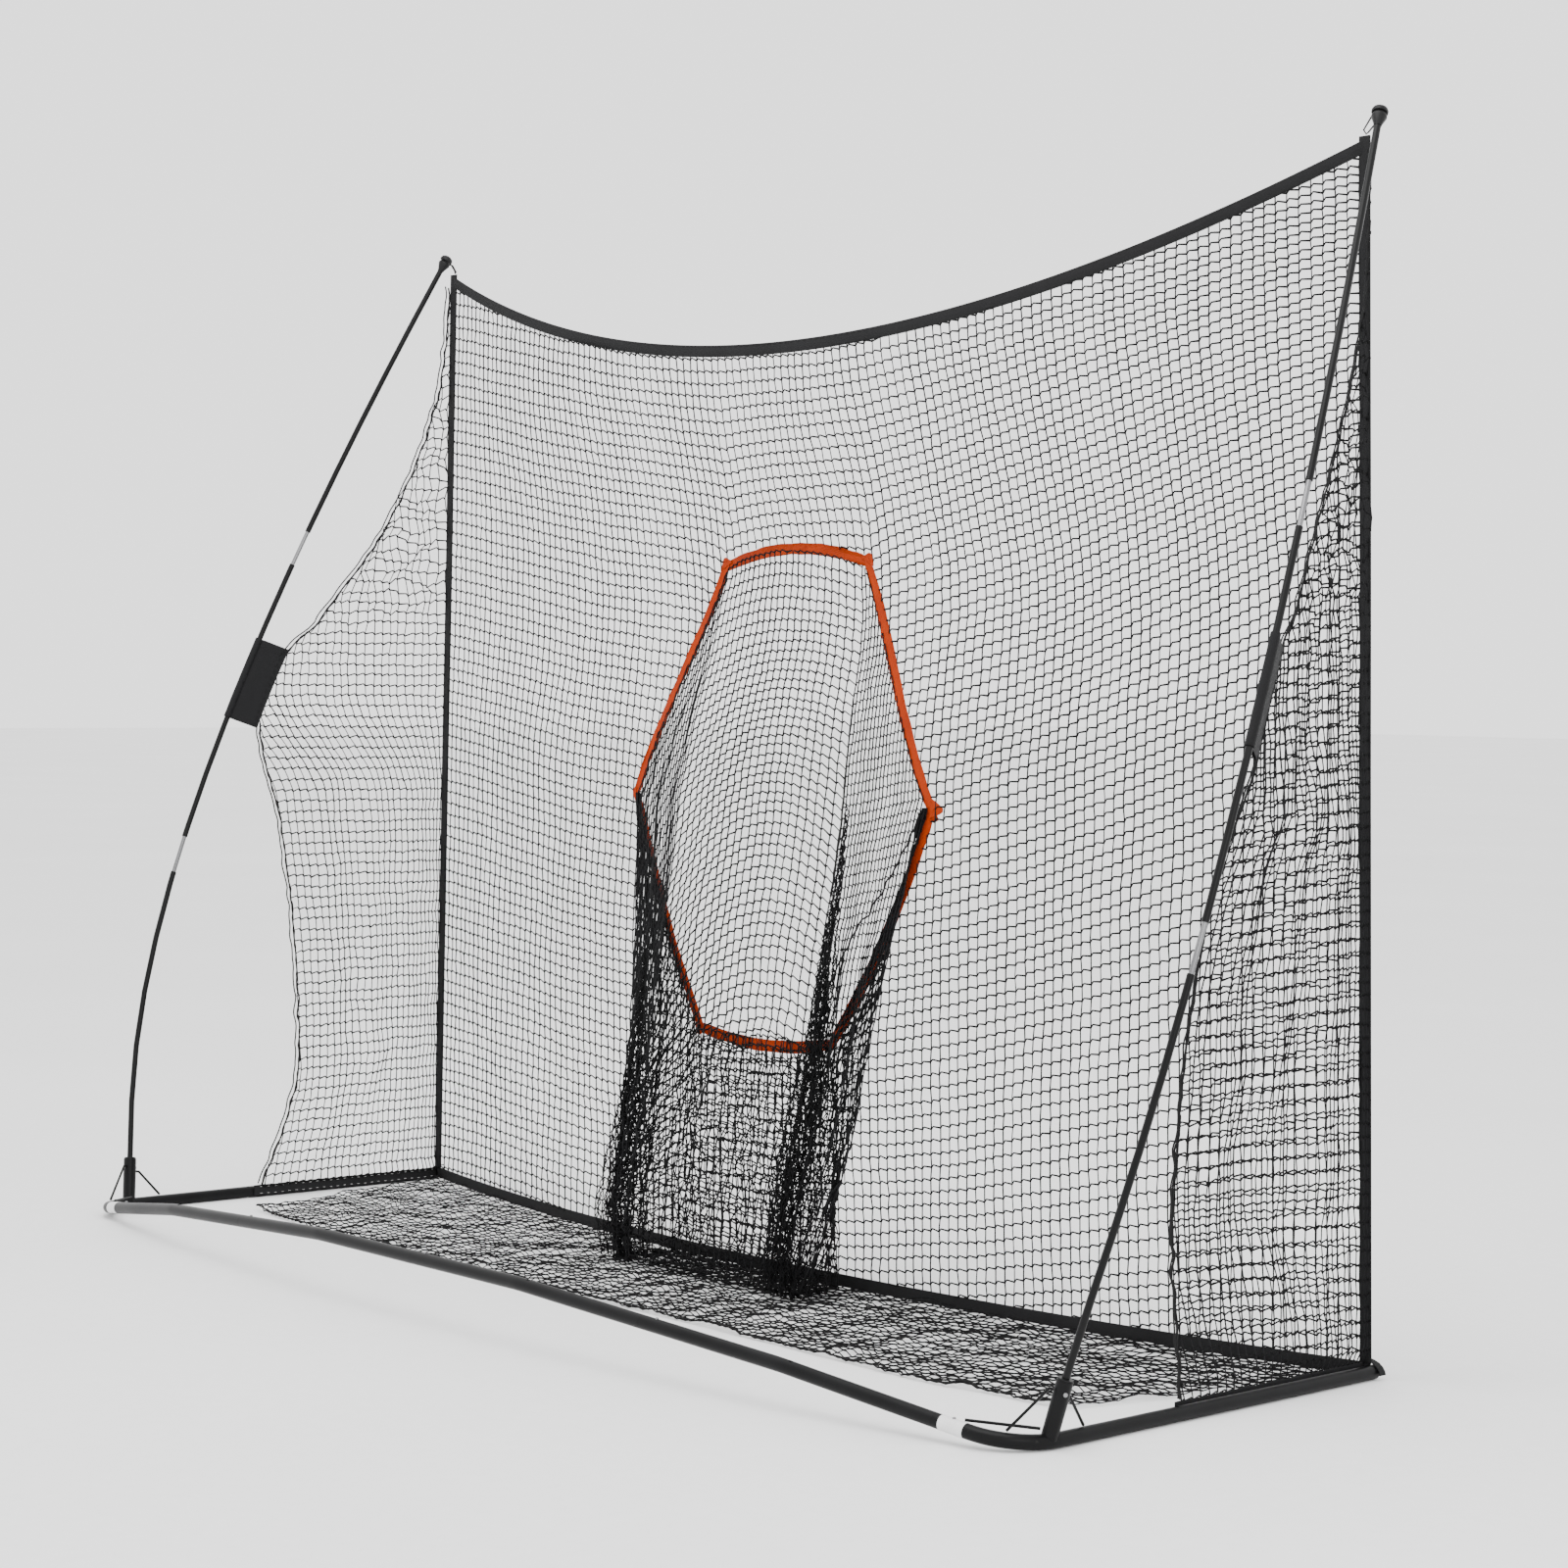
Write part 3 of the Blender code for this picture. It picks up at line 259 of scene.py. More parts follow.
WEBBING = finish("woven_webbing", (0.006, 0.006, 0.0065), (0.014, 0.014, 0.015), 0.75, 0.9, 0.0, 10, 900,
                 dust=(0.05, 0.05, 0.05), cover=0.68, weave=(0.0026, 0.0021, 0.7), bump=0.7,
                 depth=0.0006, specular=0.2)
TAPE = finish("orange_tape", (0.30, 0.022, 0.0004), (0.42, 0.038, 0.0008), 0.7, 0.85, 0.0, 16, 700,
              dust=(0.24, 0.012, 0.0004), cover=0.60, weave=(0.0022, 0.0017, 0.35), bump=0.6, depth=0.0005,
              specular=0.15)
TWINE = finish("knotted_twine", (0.002, 0.002, 0.0022), (0.006, 0.006, 0.0065), 0.75, 0.9, 0.0, 30, 1600,
               bump=0.5, depth=0.0004, specular=0.12)
THIN_TWINE = finish("thin_twine", (0.004, 0.004, 0.0045), (0.012, 0.012, 0.013), 0.75, 0.9, 0.0, 30, 1600,
                    bump=0.5, depth=0.0004, specular=0.15)
CORD = finish("braided_cord", (0.003, 0.003, 0.0032), (0.009, 0.009, 0.0095), 0.65, 0.85, 0.0, 40, 2200,
              bump=0.7, depth=0.0005, specular=0.2)
NYLON = finish("nylon_cloth", (0.003, 0.003, 0.0035), (0.008, 0.008, 0.009), 0.5, 0.72, 0.0, 12, 500,
               weave=(0.0012, 0.0012, 0.0), bump=0.5, depth=0.0004, specular=0.16)
FILM = finish("white_film", (0.70, 0.70, 0.70), (0.84, 0.84, 0.84), 0.30, 0.45, 0.0, 25, 500,
              bump=0.1, depth=0.0002)
THREAD = finish("pale_thread", (0.55, 0.55, 0.54), (0.75, 0.75, 0.74), 0.6, 0.8, 0.0, 60, 3000,
                bump=0.4, depth=0.0002)


# ---------- shared making ----------
def bring_in(name, mesh, material):
    thing = bpy.data.objects.new(name, mesh)
    bpy.context.scene.collection.objects.link(thing)
    mesh.materials.clear()
    mesh.materials.append(material)
    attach(thing, BODY)
    return thing


def add_piece(name, bm, material):
    bmesh.ops.translate(bm, verts=bm.verts, vec=(0, PANEL_Y, 0))
    for face in bm.faces:
        face.smooth = True
    mesh = bpy.data.meshes.new(name)
    bm.to_mesh(mesh)
    bm.free()
    return bring_in(name, mesh, material)


def twine(name, runs, radius, material=TWINE, sides=0, capped=False):
    """Strands of one thickness as tubes; a run is a list of (point, thickness factor)."""
    curve = bpy.data.curves.new(name + "_path", "CURVE")
    curve.dimensions = "3D"
    curve.bevel_depth, curve.bevel_resolution, curve.use_fill_caps = radius, sides, capped
    for run in runs:
        if len(run) < 2:
            continue
        spline = curve.splines.new("POLY")
        spline.points.add(len(run) - 1)
        spline.points.foreach_set("co", [c for p, _ in run for c in (p[0], p[1] + PANEL_Y, p[2], 1.0)])
        spline.points.foreach_set("radius", [f for _, f in run])
        spline.use_smooth = True
    path = bpy.data.objects.new(name + "_path", curve)
    bpy.context.scene.collection.objects.link(path)
    bpy.context.view_layer.update()
    mesh = bpy.data.meshes.new_from_object(path.evaluated_get(bpy.context.evaluated_depsgraph_get()))
    mesh.name = name
    bpy.data.objects.remove(path)
    bpy.data.curves.remove(curve)
    for face in mesh.polygons:
        face.use_smooth = True
    return bring_in(name, mesh, material)


def loft(stations):
    """A sheet drawn from a chain of points, station after station, with a UV map in metres."""
    bm = bmesh.new()
    chain = [bm.verts.new(point) for point in stations[0]]
    edges = [bm.edges.new(pair) for pair in zip(chain, chain[1:])]
    across = [0.0]
    for before, after in zip(stations[0], stations[0][1:]):
        across.append(across[-1] + (Vector(after) - Vector(before)).length)
    where = {vert: (0.0, side) for vert, side in zip(chain, across)}
    along = 0.0
    for before, station in zip(stations, stations[1:]):
        made = bmesh.ops.extrude_edge_only(bm, edges=edges)["geom"]
        fresh = [thing for thing in made if isinstance(thing, bmesh.types.BMVert)]
        ordered = []
        for old in chain:
            twin = min(fresh, key=lambda vert: (vert.co - old.co).length)
            ordered.append(twin)
            fresh.remove(twin)
        mid = len(station) // 2
        along += (Vector(station[mid]) - Vector(before[mid])).length
        for vert, point, side in zip(ordered, station, across):
            vert.co = point
            where[vert] = (along, side)
        chain = ordered
        edges = [bm.edges.get(pair) for pair in zip(chain, chain[1:])]
    layer = bm.loops.layers.uv.new("UVMap")
    for face in bm.faces:
        for loop in face.loops:
            loop[layer].uv = where[loop.vert]
    bmesh.ops.recalc_face_normals(bm, faces=bm.faces)
    return bm


def band(name, stations, material, thick=0.002, edge=0.0006):
    """A flat strap with a little thickness and rounded edges."""
    thing = add_piece(name, loft(stations), material)
    wall = thing.modifiers.new("thickness", "SOLIDIFY")
    wall.thickness, wall.offset = thick, 0.0
    soft = thing.modifiers.new("soft_edges", "BEVEL")
    soft.width, soft.segments, soft.limit_method = edge, 2, "ANGLE"
    return thing


def mirrored(point, side):
    return Vector((point[0] * side, point[1], point[2]))


def smooth_step(t):
    t = min(1.0, max(0.0, t))
    return t * t * (3 - 2 * t)


def mix_table(table, value):
    for (low, *a), (high, *b) in zip(table, table[1:]):
        if value <= high:
            t = smooth_step((value - low) / (high - low))
            return [p * (1 - t) + q * t for p, q in zip(a, b)]
    return list(table[-1][1:])


def line_table(table, value):
    """Like mix_table, with straight runs whose corners are rounded."""
    spots = [row[0] for row in table]
    value = min(max(value, spots[0]), spots[-1])
    k = max(i for i in range(len(spots) - 1) if spots[i] <= value)
    before, low = table[max(k - 1, 0)], table[k]
    high, after = table[k + 1], table[min(k + 2, len(table) - 1)]
    t = (value - low[0]) / (high[0] - low[0])
    found = []
    for a, b, c, d in zip(before[1:], low[1:], high[1:], after[1:]):
        found.append(b + 0.5 * t * (c - a + t * (2 * a - 5 * b + 4 * c - d + t * (3 * (b - c) + d - a))))
    return found


def wander(x, y, z, scale, seed=0.0):
    return noise.noise(Vector((x / scale + seed, y / scale - seed, z / scale + 2 * seed)))


# ---------- the panel's own surface ----------
def panel_half(z):
    return FRONT_HALF - TOP_TAPER * z / NET_HEIGHT


def panel_y(x, z):
    return -mix_table(BOW, max(z, 0.0))[0] * (1 - min(1.0, (x / panel_half(z)) ** 2))


def top_edge(x):
    return NET_HEIGHT - TOP_SAG * (1 - min(1.0, (x / TOP_HALF) ** 2))


def arm_x(y):
    return CORNER_X - ARM_TOE_IN * (y + BASE_DEPTH) / BASE_DEPTH


def on_panel(x, z, back=0.0):
    return Vector((x, panel_y(x, z) - back, z))


def ring_corners(grow):
    spots = ((-RING_X[0], RING_Z[0]), (RING_X[0], RING_Z[0]), (RING_X[1], RING_Z[1]),
             (RING_X[2], RING_Z[2]), (-RING_X[2], RING_Z[2]), (-RING_X[1], RING_Z[1]))
    corners = [Vector(spot) for spot in spots]
    moved = []
    for i, corner in enumerate(corners):
        one = (corner - corners[i - 1]).normalized()
        two = (corners[(i + 1) % 6] - corner).normalized()
        a, b = Vector((-one.y, one.x)), Vector((-two.y, two.x))
        moved.append(corner + (a + b) * grow / (1 + a.dot(b)))
    return moved


def ring_line(grow, steps=10):
    corners = ring_corners(grow)
    points = []
    for i, corner in enumerate(corners):
        after = corners[(i + 1) % 6]
        out = Vector((-(after - corner).y, (after - corner).x)).normalized()
        for k in range(steps):
            t = k / steps
            points.append(tuple(corner.lerp(after, t) + out * RING_BOWS[i] * 4 * t * (1 - t)))
    return points


def within(outline, x, z):
    crossed = False
    for (ax, az), (bx, bz) in zip(outline, outline[1:] + outline[:1]):
        if (az > z) != (bz > z) and x < ax + (bx - ax) * (z - az) / (bz - az):
            crossed = not crossed
    return crossed


# ---------- knotted netting ----------
def knot_net(name, across, up, place, keep, shift, row_size=0.0017, column_size=0.0014, loose=0.001,
             hook=0.0028, lift=UP):
    """Rows and uprights of knotted twine.

    place(i, j) gives a knot, keep(point, i, j) says whether it is in the net, and shift(point, loose)
    how far it may stray. The twine between a knot that is kept and one that isn't ends at the net's edge.
    """
    knots, live = {}, {}
    for i in range(across + 1):
        for j in range(up + 1):
            spot = place(i, j)
            live[i, j] = keep(spot, i, j)
            if live[i, j]:
                spot = spot + Vector((random.uniform(-1, 1), random.uniform(-1, 1),
                                      random.uniform(-1, 1))) * shift(spot, loose)
                spot.z = max(0.004, spot.z)
            knots[i, j] = spot

    def cut(a, b, ia, ja, ib, jb):
        low, high = 0.0, 1.0
        for _ in range(7):
            mid = (low + high) / 2
            here = keep(a.lerp(b, mid), ia + (ib - ia) * mid, ja + (jb - ja) * mid)
            low, high = (mid, high) if here else (low, mid)
        return a.lerp(b, low)

    rows, columns = [], []
    for j in range(up + 1):
        run = []
        for i in range(across):
            a, b = knots[i, j], knots[i + 1, j]
            if live[i, j] and live[i + 1, j]:
                if not run:
                    run.append((a - lift * hook, KNOT))
                run.append((a.lerp(b, 0.2) + lift * hook * 0.8, 1.0))
                run.append((b - lift * hook * random.uniform(0.8, 1.2), KNOT))
                if len(run) > 16:
                    rows.append(run)
                    run = run[-1:]
            elif live[i, j]:
                run = run or [(a, 1.0)]
                run.append((cut(a, b, i, j, i + 1, j), 1.0))
                rows.append(run)
                run = []
            elif live[i + 1, j]:
                run = [(cut(b, a, i + 1, j, i, j), 1.0), (b - lift * hook, KNOT)]
        rows.append(run)
    for i in range(across + 1):
        run = []
        for j in range(up):
            a, b = knots[i, j], knots[i, j + 1]
            if live[i, j] and live[i, j + 1]:
                run = run or [(a, 1.0)]
                run.append((b, 1.0))
            elif live[i, j]:
                run = run or [(a, 1.0)]
                run.append((cut(a, b, i, j, i, j + 1), 1.0))
                columns.append(run)
                run = []
            elif live[i, j + 1]:
                run = [(cut(b, a, i, j + 1, i, j), 1.0), (b, 1.0)]
        columns.append(run)
    return twine(name, rows, row_size), twine(name + "_uprights", columns, column_size, THIN_TWINE)


def evenly(point, loose):
    return loose


def everywhere(point, i, j):
    return True


def make_main_net():
    across, up, first_row = 118, 91, -0.22
    hole = ring_line(0.0115)

    def place(i, j):
        s = 2 * i / across - 1
        middle = first_row + MAIN_MESH * j
        high = max(0.0, middle)
        climb = 0.068 + 0.111 * high - 0.076 * high * high       # the rows rise to the right
        bow = 0.099 + 0.119 * high - 0.048 * high * high         # and sag in the middle
        flat = TOP_HALF * s
        z = middle + climb * flat + bow * flat ** 2 - 0.025 * flat ** 4
        lean = 0.075 * (1 - smooth_step((z - 1.2) / 0.8))
        x = (panel_half(z) - STRAP + 0.001) * (s + lean * (1 - s * s))
        near = max(0.0, 1 - abs(z - 1.5) / (0.42 if z > 1.5 else 0.3))
        cusp = math.exp(-abs(abs(x) - RING_X[0]) / 0.075)
        z -= 0.030 * near * cusp        # the target's upper corners pull the rows down
        edge = (1 - s ** 4) * min(1.0, max(0.0, z) / 0.1)
        z += 0.006 * wander(x, 0, z, 0.22) * edge
        x += 0.005 * wander(x, 3, z, 0.18, 4) * edge
        return Vector((x, panel_y(x, z) + 0.012 * wander(x, 7, z, 0.3, 9) * edge, z))

    def keep(point, i, j):
        return (STRAP + 0.003 < point.z < top_edge(point.x) - STRAP + 0.0012
                and not within(hole, point.x, point.z))

    rows, columns = knot_net("main_netting", across, up, place, keep, evenly, loose=0.0012)
    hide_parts("main_net")


# ---------- straps and the target's tape ----------
def strap_stations(line, across, steps, puff=0.0, width=STRAP):
    stations = []
    for k in range(steps + 1):
        t = k / steps
        low = line(t)
        stations.append([low + across * width * v + Vector((0, -puff * math.sin(math.pi * v), 0))
                         for v in (0.0, 0.12, 0.47, 0.53, 0.88, 1.0)])
    return stations


def make_straps():
    def top_line(t):
        x = (2 * t - 1) * (TOP_HALF - 0.002)
        return on_panel(x, top_edge(x) - STRAP)

    top = band("top_webbing", strap_stations(top_line, UP, 72, 0.0012), WEBBING, 0.0026)
    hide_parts("top_strap")

    def bottom_line(t):
        x = (2 * t - 1) * (panel_half(0) - 0.004)
        return on_panel(x, 0.004)

    bottom = band("bottom_webbing", strap_stations(bottom_line, UP, 60, 0.001), WEBBING, 0.0024)
    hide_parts("bottom_strap")
    stitches = []
    for side, word in ((-1, "left"), (1, "right")):
        def upright(t, side=side):
            z = 0.0285 + (NET_HEIGHT + 0.001 - 0.0285) * t
            x = panel_half(z) - STRAP
            return Vector((side * x, panel_y(x + STRAP / 2, z) - 0.0012, z))

        stations = strap_stations(upright, Vector((side, 0, 0)), 60)
        strap = band(f"side_webbing_{word}", stations, WEBBING, 0.0026)
        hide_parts(f"side_strap_{word}")

        def arm_line(t, side=side):
            y = -0.517 + 0.505 * t
            x = arm_x(y) - TUBE_R - 0.0018
            return Vector((side * x, y, 0.004 + 0.0006 * math.sin(40 * t)))

        strap = band(f"arm_webbing_{word}", strap_stations(arm_line, UP, 24), WEBBING, 0.0022)
        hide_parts(f"arm_strap_{word}")
        for k in range(26):
            t = 0.03 + 0.94 * k / 25
            for high in (0.0045, 0.0205):
                a, b = arm_line(t), arm_line(t + 0.012)
                out = Vector((-side * 0.0013, 0, high))
                middle = a.lerp(b, 0.5) + out - Vector((side * 0.0004, 0, 0))
                stitches.append([(a + out, 1.0), (middle, 1.0), (b + out, 1.0)])
    twine("arm_strap_stitches", stitches, 0.00042, THREAD, capped=True)
    seams = []
    for high in (0.0035, 0.0215):
        for k in range(150):
            x0 = (2 * k / 150 - 1) * (TOP_HALF - 0.03)
            x1 = x0 + 0.011
            seams.append([(on_panel(x, top_edge(x) - STRAP + high, 0.0016), 1.0)
                          for x in (x0, (x0 + x1) / 2, x1)])
    twine("top_strap_stitches", seams, 0.0004, CORD, capped=True)


def make_ring():
    corners = ring_corners(0.0)
    middle = Vector((0.0, RING_Z[1]))
    for i, corner in enumerate(corners):
        after = corners[(i + 1) % 6]
        along = (after - corner).normalized()
        out = Vector((-along.y, along.x))
        if out.dot((corner + after) / 2 - middle) < 0:
            out = -out
        begin, end = {1: (0.012, 0.030), 2: (0.006, 0.010)}.get(i, (0.011, 0.011))      # past its corners
        length = (after - corner).length
        steps = 28
        stations = []
        for k in range(-1, steps + 2):
            s = -begin if k < 0 else length + end if k > steps else length * k / steps
            t = min(1.0, max(0.0, s / length))
            x, z = corner + along * s + out * RING_BOWS[i] * 4 * t * (1 - t)
            pull = 1 - 0.24 * max(0.0, wander(s, i * 3.0, 0, 0.06, 2.0)) - 0.25 * (abs(2 * t - 1) ** 14)
            chain = []
            for v in (-1.0, -0.86, -0.3, 0.3, 0.86, 1.0):
                width = STRAP / 2 * pull
                if k < 0 or k > steps:
                    width *= 0.55 + 0.45 * (v + 1) / 2
                wobble = 0.0013 * wander(s, v, i, 0.035, 6.0)
                px, pz = x + out.x * (v * width + wobble), z + out.y * (v * width + wobble)
                fold = 0.003 * wander(s, 1.5 * v, i * 7.0, 0.07, 3.0)
                chain.append(on_panel(px, pz, 0.0012 * (i % 2) + fold))
            stations.append(chain)
        band(f"target_tape_{i}", stations, TAPE, 0.0016, 0.0004)
    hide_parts("target_ring")
    for i, size, word in ((0, 0.020, "upper_left"), (1, 0.020, "upper_right"), (2, 0.034, "right"),
                          (4, 0.018, "lower_left"), (5, 0.014, "left")):
        corner = corners[i]
        out = (Vector((1.0, -0.1)) if i == 2 else corner - middle).normalized()
        flat = Vector((-out.y, out.x))
        stations = []
        for k in range(6):
            t = k / 5
            width = 0.017 * (1 - t) ** 0.8 + 0.0035
            spot = corner + out * (size * t)
            stations.append([on_panel(spot.x + flat.x * width * v, spot.y + flat.y * width * v,
                                      0.0026 + 0.002 * wander(t, v, i, 0.5, 2))
                             for v in (-1, -0.5, 0, 0.5, 1)])
        band(f"tape_tab_{word}", stations, TAPE, 0.0014, 0.0003)
    threads = []
    for grow in (-0.0095, 0.0095):
        line = ring_line(grow, 60)
        for k in range(0, len(line), 2):
            (ax, az), (bx, bz) = line[k], line[(k + 1) % len(line)]
            threads.append([(on_panel(ax, az, 0.0042), 1.0), (on_panel(bx, bz, 0.0042), 1.0)])
    twine("target_stitches", threads, 0.0003, TAPE)


# ---------- the pocket behind the target ----------
# (height, out from the middle, back from the straps' plane) of its rear folds and of its outer folds
FOLD = ((0.02, 0.234, 0.358), (0.1, 0.234, 0.353), (0.3, 0.240, 0.313), (0.5, 0.252, 0.279),
        (0.7, 0.258, 0.253), (0.9, 0.262, 0.219), (1.0, 0.262, 0.205), (1.1, 0.255, 0.187),
        (1.2, 0.246, 0.165), (1.3, 0.238, 0.141), (1.4, 0.227, 0.126), (1.477, 0.214, 0.118))
OUTER = ((0.02, 0.300, 0.338), (0.1, 0.335, 0.333), (0.2, 0.354, 0.303), (0.3, 0.368, 0.277),
         (0.4, 0.378, 0.258), (0.5, 0.386, 0.241), (0.6, 0.397, 0.225), (0.7, 0.411, 0.210),
         (0.8, 0.428, 0.194), (0.9, 0.442, 0.184), (0.984, 0.455, 0.172))


def ring_half(z):
    if z >= RING_Z[1]:
        t = min(1.0, (z - RING_Z[1]) / (RING_Z[0] - RING_Z[1]))
        return RING_X[1] + (RING_X[0] - RING_X[1]) * t
    t = max(0.0, (z - RING_Z[2]) / (RING_Z[1] - RING_Z[2]))
    return RING_X[2] + (RING_X[1] - RING_X[2]) * t


def fold_spot(z):
    x, y = line_table(FOLD, z)
    return Vector((x, -y, z))


def outer_spot(z):
    if z > RING_Z[1]:
        x = ring_half(z) - 0.008
        return Vector((x, panel_y(x, z) - 0.003, z))
    x, y = line_table(OUTER, z)
    return Vector((x, -y, z))


def mouth_spot(z):
    """Where the pocket's front edge runs: along the target's lower edges, then straight down."""
    if z > RING_Z[2]:
        t = min(1.0, (z - RING_Z[2]) / (RING_Z[1] - RING_Z[2]))
        x = ring_half(z) - 0.004 + 0.018 * 4 * t * (1 - t)
        return Vector((x, panel_y(x, z) - 0.004, z))
    t = 1 - z / RING_Z[2]
    x = RING_X[2] + 0.052 * t
    return Vector((x, panel_y(x, z) - 0.006 - 0.03 * t, z))


def wing_span(z):
    """How wide each side wing is, from its fold to the target's edge."""
    if z < RING_Z[1]:
        return WING_SPAN
    return (outer_spot(z) - fold_spot(min(z, RING_Z[0]))).length


WING_SPAN = (outer_spot(RING_Z[1]) - fold_spot(RING_Z[1])).length


def make_pocket():
    rows_up, step = 63, 1.46 / 60
    back_cells, wing_cells, lip_cells = 23, 22, 12
    total = back_cells + 2 * (wing_cells + lip_cells)
    first = wing_cells + lip_cells

    def wing_cell(k):
        """Which side a cell beyond the rear sheet is on, and how many cells from the fold."""
        return (1, k - back_cells) if k > back_cells else (-1, -k)

    def place(i, j):
        base = 0.02 + j * step
        k = i - first
        tight = 1.0 - smooth_step((base - 0.35) / 0.45)
        tip = 0.115 * min(1.0, max(0.0, (1.42 - base) / 0.85)) * smooth_step(base / 0.4)
        if 0 <= k <= back_cells:
            s = 2 * k / back_cells - 1
            arch = 0.034 + 0.086 * smooth_step((1.42 - base) / 0.65)
            arch = arch * (1 - s * s) * smooth_step(base / 0.45)
            z = max(0.006, base + arch - 0.034 * smooth_step(base / 0.4) + tip * s)
            fold = fold_spot(min(z, RING_Z[0]))
            bulge = 0.028 * (1 - s * s) * smooth_step(base / 0.3)
            spot = Vector((fold.x * s, fold.y - bulge, z))
        else:
            side, depth = wing_cell(k)
            slope = (-0.20 if side < 0 else 0.045) * smooth_step((base - 0.25) / 0.5)
            if depth <= wing_cells:
                t = depth / wing_cells
                z = max(0.008, base - 0.03 + slope * t + side * tip)
                if z > RING_Z[1]:
                    t = min(1.0, t * WING_SPAN / max(1e-4, wing_span(z)))
                spot = fold_spot(min(z, RING_Z[0])).lerp(outer_spot(z), t)
                crease = 0.016 * math.sin(t * 19) * (0.06 + tight)
                spot += Vector((crease * 0.5, -crease, 0)) * math.sin(math.pi * t)
            else:
                t = (depth - wing_cells) / lip_cells
                z = max(0.008, base - 0.03 + (slope + side * tip) * (1 - t))
                spot = outer_spot(z).lerp(mouth_spot(z), t)
                crease = 0.012 * math.sin(t * 13) * (0.35 + tight)
                spot += Vector((crease, -crease * 0.5, 0)) * math.sin(math.pi * t)
            spot = mirrored(spot, side)
        rough = 0.003 + 0.006 * tight
        spot.x += rough * 0.8 * wander(spot.x, spot.y, spot.z, 0.05, 1.0)
        spot.z += rough * 0.8 * wander(spot.x, spot.y, spot.z, 0.045, 5.0)
        spot.z = max(0.010, spot.z)
        return spot

    def keep(point, i, j):
        k = i - first
        if 0 <= k <= back_cells:
            s = 2 * k / back_cells - 1
            return point.z < 1.472 + RING_ARCH * (1 - s * s)
        depth = wing_cell(k)[1]
        if point.z > 1.465:
            return False
        if depth <= wing_cells:
            return depth / wing_cells * WING_SPAN <= wing_span(point.z) + 0.006
        return point.z < RING_Z[1]

    def shift(point, loose):
        crumpled = 0.0042 * (1 - smooth_step((point.z - 0.3) / 0.35))
        return (loose + crumpled) * min(1.0, point.z / 0.02)

    rows, columns = knot_net("pocket_netting", total, rows_up, place, keep, shift, loose=0.0011)
    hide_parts("target_pocket")

    wide, tall = 22, 26

    def front(i, j):
        s = 2 * i / wide - 1
        z = 0.012 + 0.478 * j / tall
        mouth = mouth_spot(z)
        sunk = 0.035 * (1 - s * s) * (1 - z / 0.5)
        spot = Vector((mouth.x * s, mouth.y - sunk + 0.01 * wander(s, 0, z, 0.3, 8), z))
        spot.x += 0.007 * wander(spot.x, 0, z, 0.06, 2.5)
        spot.z += 0.007 * wander(spot.x, 5, z, 0.06, 7.5) * math.sin(math.pi * j / tall)
        return spot

    front_pieces = knot_net("pocket_front", wide, tall, front, everywhere, evenly, loose=0.005)

    def floor(i, j):
        z_front, z_back = mouth_spot(0.012), fold_spot(0.02)
        t = j / 6
        s = 2 * i / wide - 1
        half = z_front.x + (0.30 - z_front.x) * math.sin(math.pi * t) * 0.5 + (z_back.x - z_front.x) * t
        return Vector((half * s, z_front.y + (z_back.y - z_front.y) * t, 0.008 + 0.006 * random.random()))

    base_pieces = knot_net("pocket_floor", wide, 6, floor, everywhere, evenly, loose=0.002, lift=AHEAD)
    return rows, [columns, *front_pieces, *base_pieces]


def bundle(line, top, bottom, size_of, count, seed):
    """Netting bunched into a hanging bundle: strands that zigzag between knots inside a tapering outline."""
    pick = random.Random(seed)
    runs = []
    for n in range(count):
        turn, reach = pick.uniform(0, 2 * math.pi), math.sqrt(pick.random())
        begin = top - pick.random() ** 0.8 * (top - bottom) * 0.62
        steps = int((begin - bottom) / 0.0125)
        run = []
        for k in range(steps + 1):
            z = begin - 0.0125 * k
            size = size_of(z)
            swing = turn + 1.3 * noise.noise(Vector((n * 1.7, z * 5, seed)))
            zig = 0.0042 * (1 if k % 2 else -1)
            aside, behind = math.cos(swing) * reach * size, math.sin(swing) * reach * size * 0.7
            spot = line(z) + Vector((aside + zig, behind + pick.uniform(-0.003, 0.003),
                                     pick.uniform(-0.002, 0.002)))
            spot.z = max(0.004, spot.z)
            run.append((spot, 1.5 if k % 2 else 1.0))
        runs.append(run)
    return runs


def make_bundles():
    def right_line(z):
        return fold_spot(z) + Vector((0.022 * (1 - z), 0.012, 0))

    def right_size(z):
        return 0.004 + 0.054 * smooth_step((0.95 - z) / 0.75)

    def left_line(z):
        spot = fold_spot(z).lerp(outer_spot(z), 0.55 + 0.3 * smooth_step((0.5 - z) / 0.4))
        return mirrored(spot, -1)

    def left_size(z):
        return 0.003 + 0.040 * smooth_step((0.75 - z) / 0.6) + 0.006 * smooth_step((0.12 - z) / 0.1)

    runs = bundle(right_line, 1.0, 0.02, right_size, 50, 3) + bundle(left_line, 0.7, 0.006, left_size, 26, 5)
    return twine("pocket_gathers", runs, 0.001)


